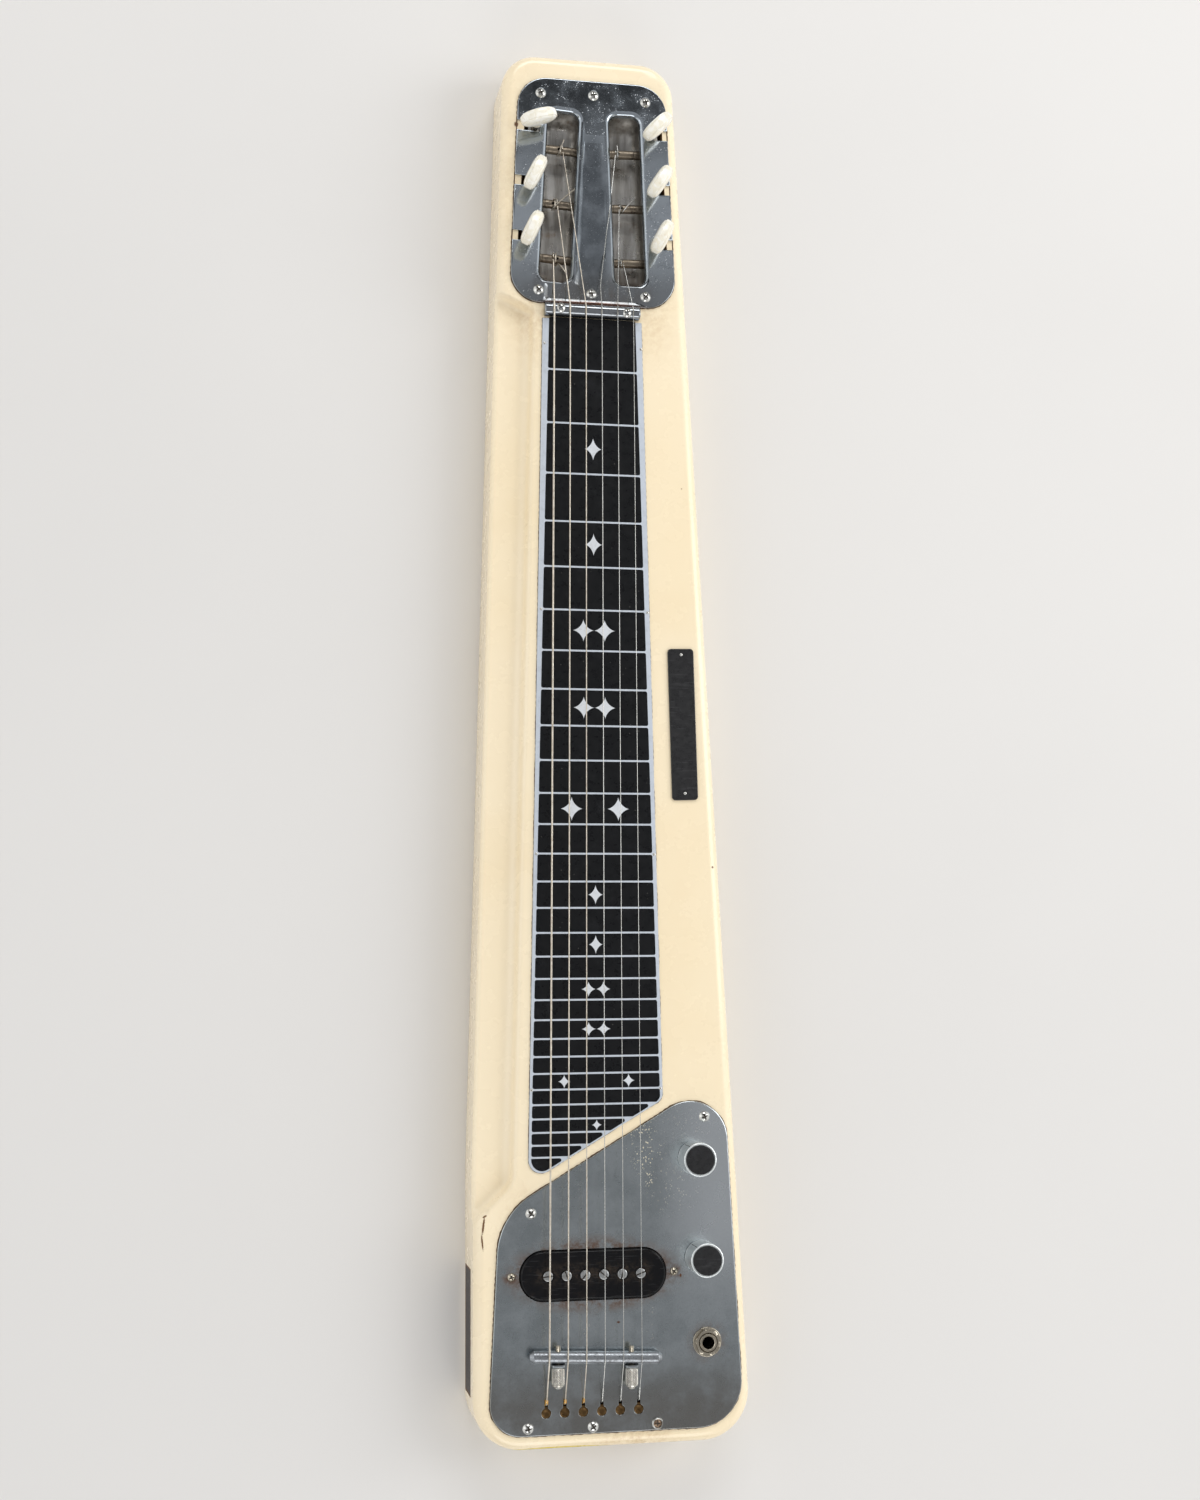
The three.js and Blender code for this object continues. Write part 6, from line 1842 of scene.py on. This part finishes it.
def make_thumb_screw(name, x):
    """A knurled screw along Y behind the rod: local z runs towards the tail."""
    start = -(rod_y(x) - 3.75) + 1.2 + 0.3
    tip = -rod_y(x) - ROD_RADIUS - 2.6
    shape = Shape()
    spin = Matrix.Translation((x, 0, ROD_AXIS)) @ Matrix.Rotation(PI / 2, 4, "X")
    stem = [(0, tip), (1.15, tip), (1.4, tip + 0.3)]
    z = tip + 0.3
    while z < start - 0.5:
        stem += [(1.4, z + 0.25), (1.24, z + 0.5)]
        z += 0.5
    stem += [(1.4, start), (0, start)]
    shape.add(*turned(stem, 32), NICKEL)
    sides, rows = 180, 64
    length = 9.8 - 1.2
    rings = [level(circle(0, 0, radius, sides), start) for radius in (0.8, 2.9)]

    def knurl(k, share):
        a = k / sides * 18
        b = share * length / 1.3
        ridge = max(abs((a + b) % 1 - 0.5), abs((a - b) % 1 - 0.5)) * 2
        return 0.33 * (1 - ridge)

    for i in range(rows + 1):
        share = i / rows
        z = start + 0.3 + share * length
        fade = min(1, share * rows / 2, (1 - share) * rows / 2)
        ring = []
        for k in range(sides):
            a, reach = 2 * PI * k / sides, 3.2 + knurl(k, share) * fade
            ring.append((reach * math.cos(a), reach * math.sin(a), z))
        rings.append(ring)
    end = start + 0.3 + length
    for r, rise in ((3.15, 0.1), (3.25, 0.25), (3.2, 0.45), (2.7, 0.9), (2.35, 0.95), (2.25, 1.2),
                    (1.9, 1.75), (1.3, 2.15), (0.7, 2.3), (0.02, 2.32)):
        rings.append(level(circle(0, 0, r, sides), end + rise))
    shape.add(*loft(rings), KNURL)
    shape.moved(spin)
    shape.object(f"thumb_screw_{name}", "frame", f"bridge_screw_{name}", "nickel", 22)


make_bridge()


# Strings


def string_route(n):
    radius = STRING_DIAMETERS[n - 1] / 2
    x = string_x(n, KEYHOLE_Y)
    rise = -592.3 - 0.6 - radius
    ball = PLATE_BACK - 4.2
    leave = Vector((0, -592.3 - 0.3, CONTROL_FACE + 0.6 + radius))
    points = [(x, rise, ball + 1.5), (x, rise, CONTROL_FACE), (x, leave.y, leave.z)]
    bridge_x = string_x(n, -BRIDGE_REACH)
    over = ROD_RADIUS + 0.2 + radius
    back_y, back_z = leave.y - rod_y(bridge_x), leave.z - ROD_AXIS
    start = math.atan2(back_z, back_y) + 2 * PI - math.acos(over / math.hypot(back_y, back_z))
    nut_z = NUT_FLOOR + GAP + radius
    end = PI / 2 - math.atan((ROD_AXIS + over - nut_z) / BRIDGE_REACH)
    for i in range(13):
        turn = lerp(start, end, i / 12)
        points.append((bridge_x, rod_y(bridge_x) + over * math.cos(turn), ROD_AXIS + over * math.sin(turn)))
    points.append((string_x(n, 0), -0.5, nut_z))
    points += [tuple(p) for p in head_run(n)[2]]
    return points


def make_string(n):
    diameter = STRING_DIAMETERS[n - 1]
    wire, slot = wire_looks(n)
    route, run = string_route(n), head_run(n)[2]
    path = smoothed(route[:3], 0.6) + route[3:-1]
    if len(run) > 2:
        path = path[:-len(run) + 1] + smoothed(run, 2.0)[:-1]
    path = path + [route[-1]]
    shape = Shape().add(*tube(path, diameter / 2, 12), wire)
    x, rise = route[0][:2]
    ball = [(0.7, -1.6), (1.5, -1.6), (1.9, -1.3), (1.9, -0.9), (1.4, -0.5), (1.4, 0.5), (1.9, 0.9),
            (1.9, 1.3), (1.5, 1.6), (0.7, 1.6)]
    verts, faces = along_x(hoop(ball, 28))
    shape.add([(vx + x, vy + rise - diameter / 2, vz + 34.0) for vx, vy, vz in verts], faces, BRASS)
    ahead = (Vector(route[3]) - Vector(route[2])).normalized()
    wrap_length = 7.5 if n < 4 else 2.4
    twist_path = [tuple(Vector(route[1]) - Vector((0, 0, 3.0))), route[1], route[2]]
    twist_path += [tuple(Vector(route[2]) + ahead * (wrap_length * i / 6)) for i in range(1, 7)]
    core = smoothed(twist_path, 0.6)
    dense_core = []
    for p, q in zip(core, core[1:]):
        steps = max(1, int((Vector(q) - Vector(p)).length / 0.12))
        dense_core += [tuple(Vector(p).lerp(Vector(q), i / steps)) for i in range(steps)]
    for phase in (0.0, PI):
        turns = []
        for i, p in enumerate(dense_core):
            angle = i * 0.12 / (diameter * 1.1 + 0.35) * 2 * PI + phase
            r = diameter * 0.5 + 0.12
            turns.append((p[0] + r * math.cos(angle), p[1] + r * 0.5 * math.sin(angle),
                          p[2] + r * 0.6 * math.sin(angle)))
        shape.add(*tube(turns, max(diameter * 0.28, 0.12), 6), BRASS if n > 3 else PLAIN)
    shape.object(f"wire_{n}", "frame", f"string_{n}", slot)


for n in range(1, 7):
    make_string(n)

# Carried-over nodes

for node, material in {"volume_pot": POT, "tone_pot": POT, "pickup_coil": COPPER,
                       "pickup_magnet": IRON}.items():
    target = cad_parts[node]
    for slot in target.material_slots:
        slot.material = material


# Stage, light, camera


def make_floor():
    mesh = bpy.data.meshes.new("floor")
    verts, faces = [], []
    count, reach = 24, 6.0
    for i in range(count + 1):
        for k in range(count + 1):
            verts.append((lerp(-reach, reach, k / count), lerp(-reach, reach, i / count), 0.0))
    faces = grid_faces(count + 1, count + 1, closed=False)
    mesh.from_pydata(verts, [], faces)
    mesh.materials.append(floor_paint().mat)
    floor = bpy.data.objects.new("floor", mesh)
    bpy.context.scene.collection.objects.link(floor)


def lamp(name, at, aim, size, power, color=(1, 1, 1), size_y=None):
    data = bpy.data.lights.new(name, "AREA")
    data.shape = "RECTANGLE"
    data.size, data.size_y = size, size_y or size
    data.energy, data.color = power, color
    obj = bpy.data.objects.new(name, data)
    obj.location = at
    obj.rotation_euler = (Vector(aim) - Vector(at)).to_track_quat("-Z", "Y").to_euler()
    bpy.context.scene.collection.objects.link(obj)


def make_world():
    world = bpy.data.worlds.new("studio")
    bpy.context.scene.world = world
    world.use_nodes = True
    tree = world.node_tree
    background = tree.nodes["Background"]
    coords = tree.nodes.new("ShaderNodeTexCoord")
    split = tree.nodes.new("ShaderNodeSeparateXYZ")
    tree.links.new(coords.outputs["Generated"], split.inputs[0])
    ramp = tree.nodes.new("ShaderNodeValToRGB")
    tree.links.new(split.outputs["Y"], ramp.inputs["Fac"])
    stops = [(0.0, 0.4), (0.29, 0.4), (0.31, 0.5), (0.372, 0.5), (0.38, 0.4), (0.39, 0.03), (0.6, 0.03),
             (0.8, 0.3)]
    ramp.color_ramp.elements[0].position = stops[0][0]
    ramp.color_ramp.elements[1].position = stops[-1][0]
    for position, _ in stops[1:-1]:
        ramp.color_ramp.elements.new(position)
    for element, (position, value) in zip(ramp.color_ramp.elements, stops):
        element.position = position
        element.color = (value, value, value * 1.02, 1)
    wide = tree.nodes.new("ShaderNodeMath")
    wide.operation = "ABSOLUTE"
    tree.links.new(split.outputs["X"], wide.inputs[0])
    sides = tree.nodes.new("ShaderNodeMapRange")
    sides.interpolation_type = "SMOOTHSTEP"
    tree.links.new(wide.outputs[0], sides.inputs["Value"])
    sides.inputs["From Min"].default_value = 0.42
    sides.inputs["From Max"].default_value = 0.7
    mix = tree.nodes.new("ShaderNodeMix")
    mix.data_type = "RGBA"
    tree.links.new(sides.outputs["Result"], mix.inputs[0])
    tree.links.new(ramp.outputs["Color"], mix.inputs[6])
    mix.inputs[7].default_value = (1.0, 1.0, 1.0, 1)
    tree.links.new(mix.outputs[2], background.inputs["Color"])
    background.inputs["Strength"].default_value = 1.0


make_floor()
make_world()
lamp("right", (1.75, 0.3, 1.3), (0, 0, 0), 1.0, 15, size_y=1.6)
lamp("left", (-1.85, 0.1, 1.15), (0, 0, 0), 1.0, 3, size_y=1.6)
lamp("head", (0.2, 2.0, 1.5), (0, 0.1, 0), 1.6, 22, size_y=1.0)
lamp("tail", (0.1, -2.0, 1.3), (0, -0.1, 0), 1.6, 12, size_y=1.0)

camera_data = bpy.data.cameras.new("camera")
camera_data.lens = 48.0
camera_data.sensor_fit = "VERTICAL"
camera_data.sensor_height = 36.0
camera_data.clip_start = 0.01
camera = bpy.data.objects.new("camera", camera_data)
right = Vector((0.981, -0.0056, 0.1934)).normalized()
behind = Vector((-0.193, -0.0977, 0.9763))
behind = (behind - right * behind.dot(right)).normalized()
up = behind.cross(right)
turn = Matrix((right, up, behind)).transposed().to_4x4()
camera.matrix_world = Matrix.Translation((-0.21771, -0.11865, 1.1105)) @ turn
bpy.context.scene.collection.objects.link(camera)
bpy.context.scene.camera = camera
bpy.context.scene.view_settings.view_transform = "Standard"
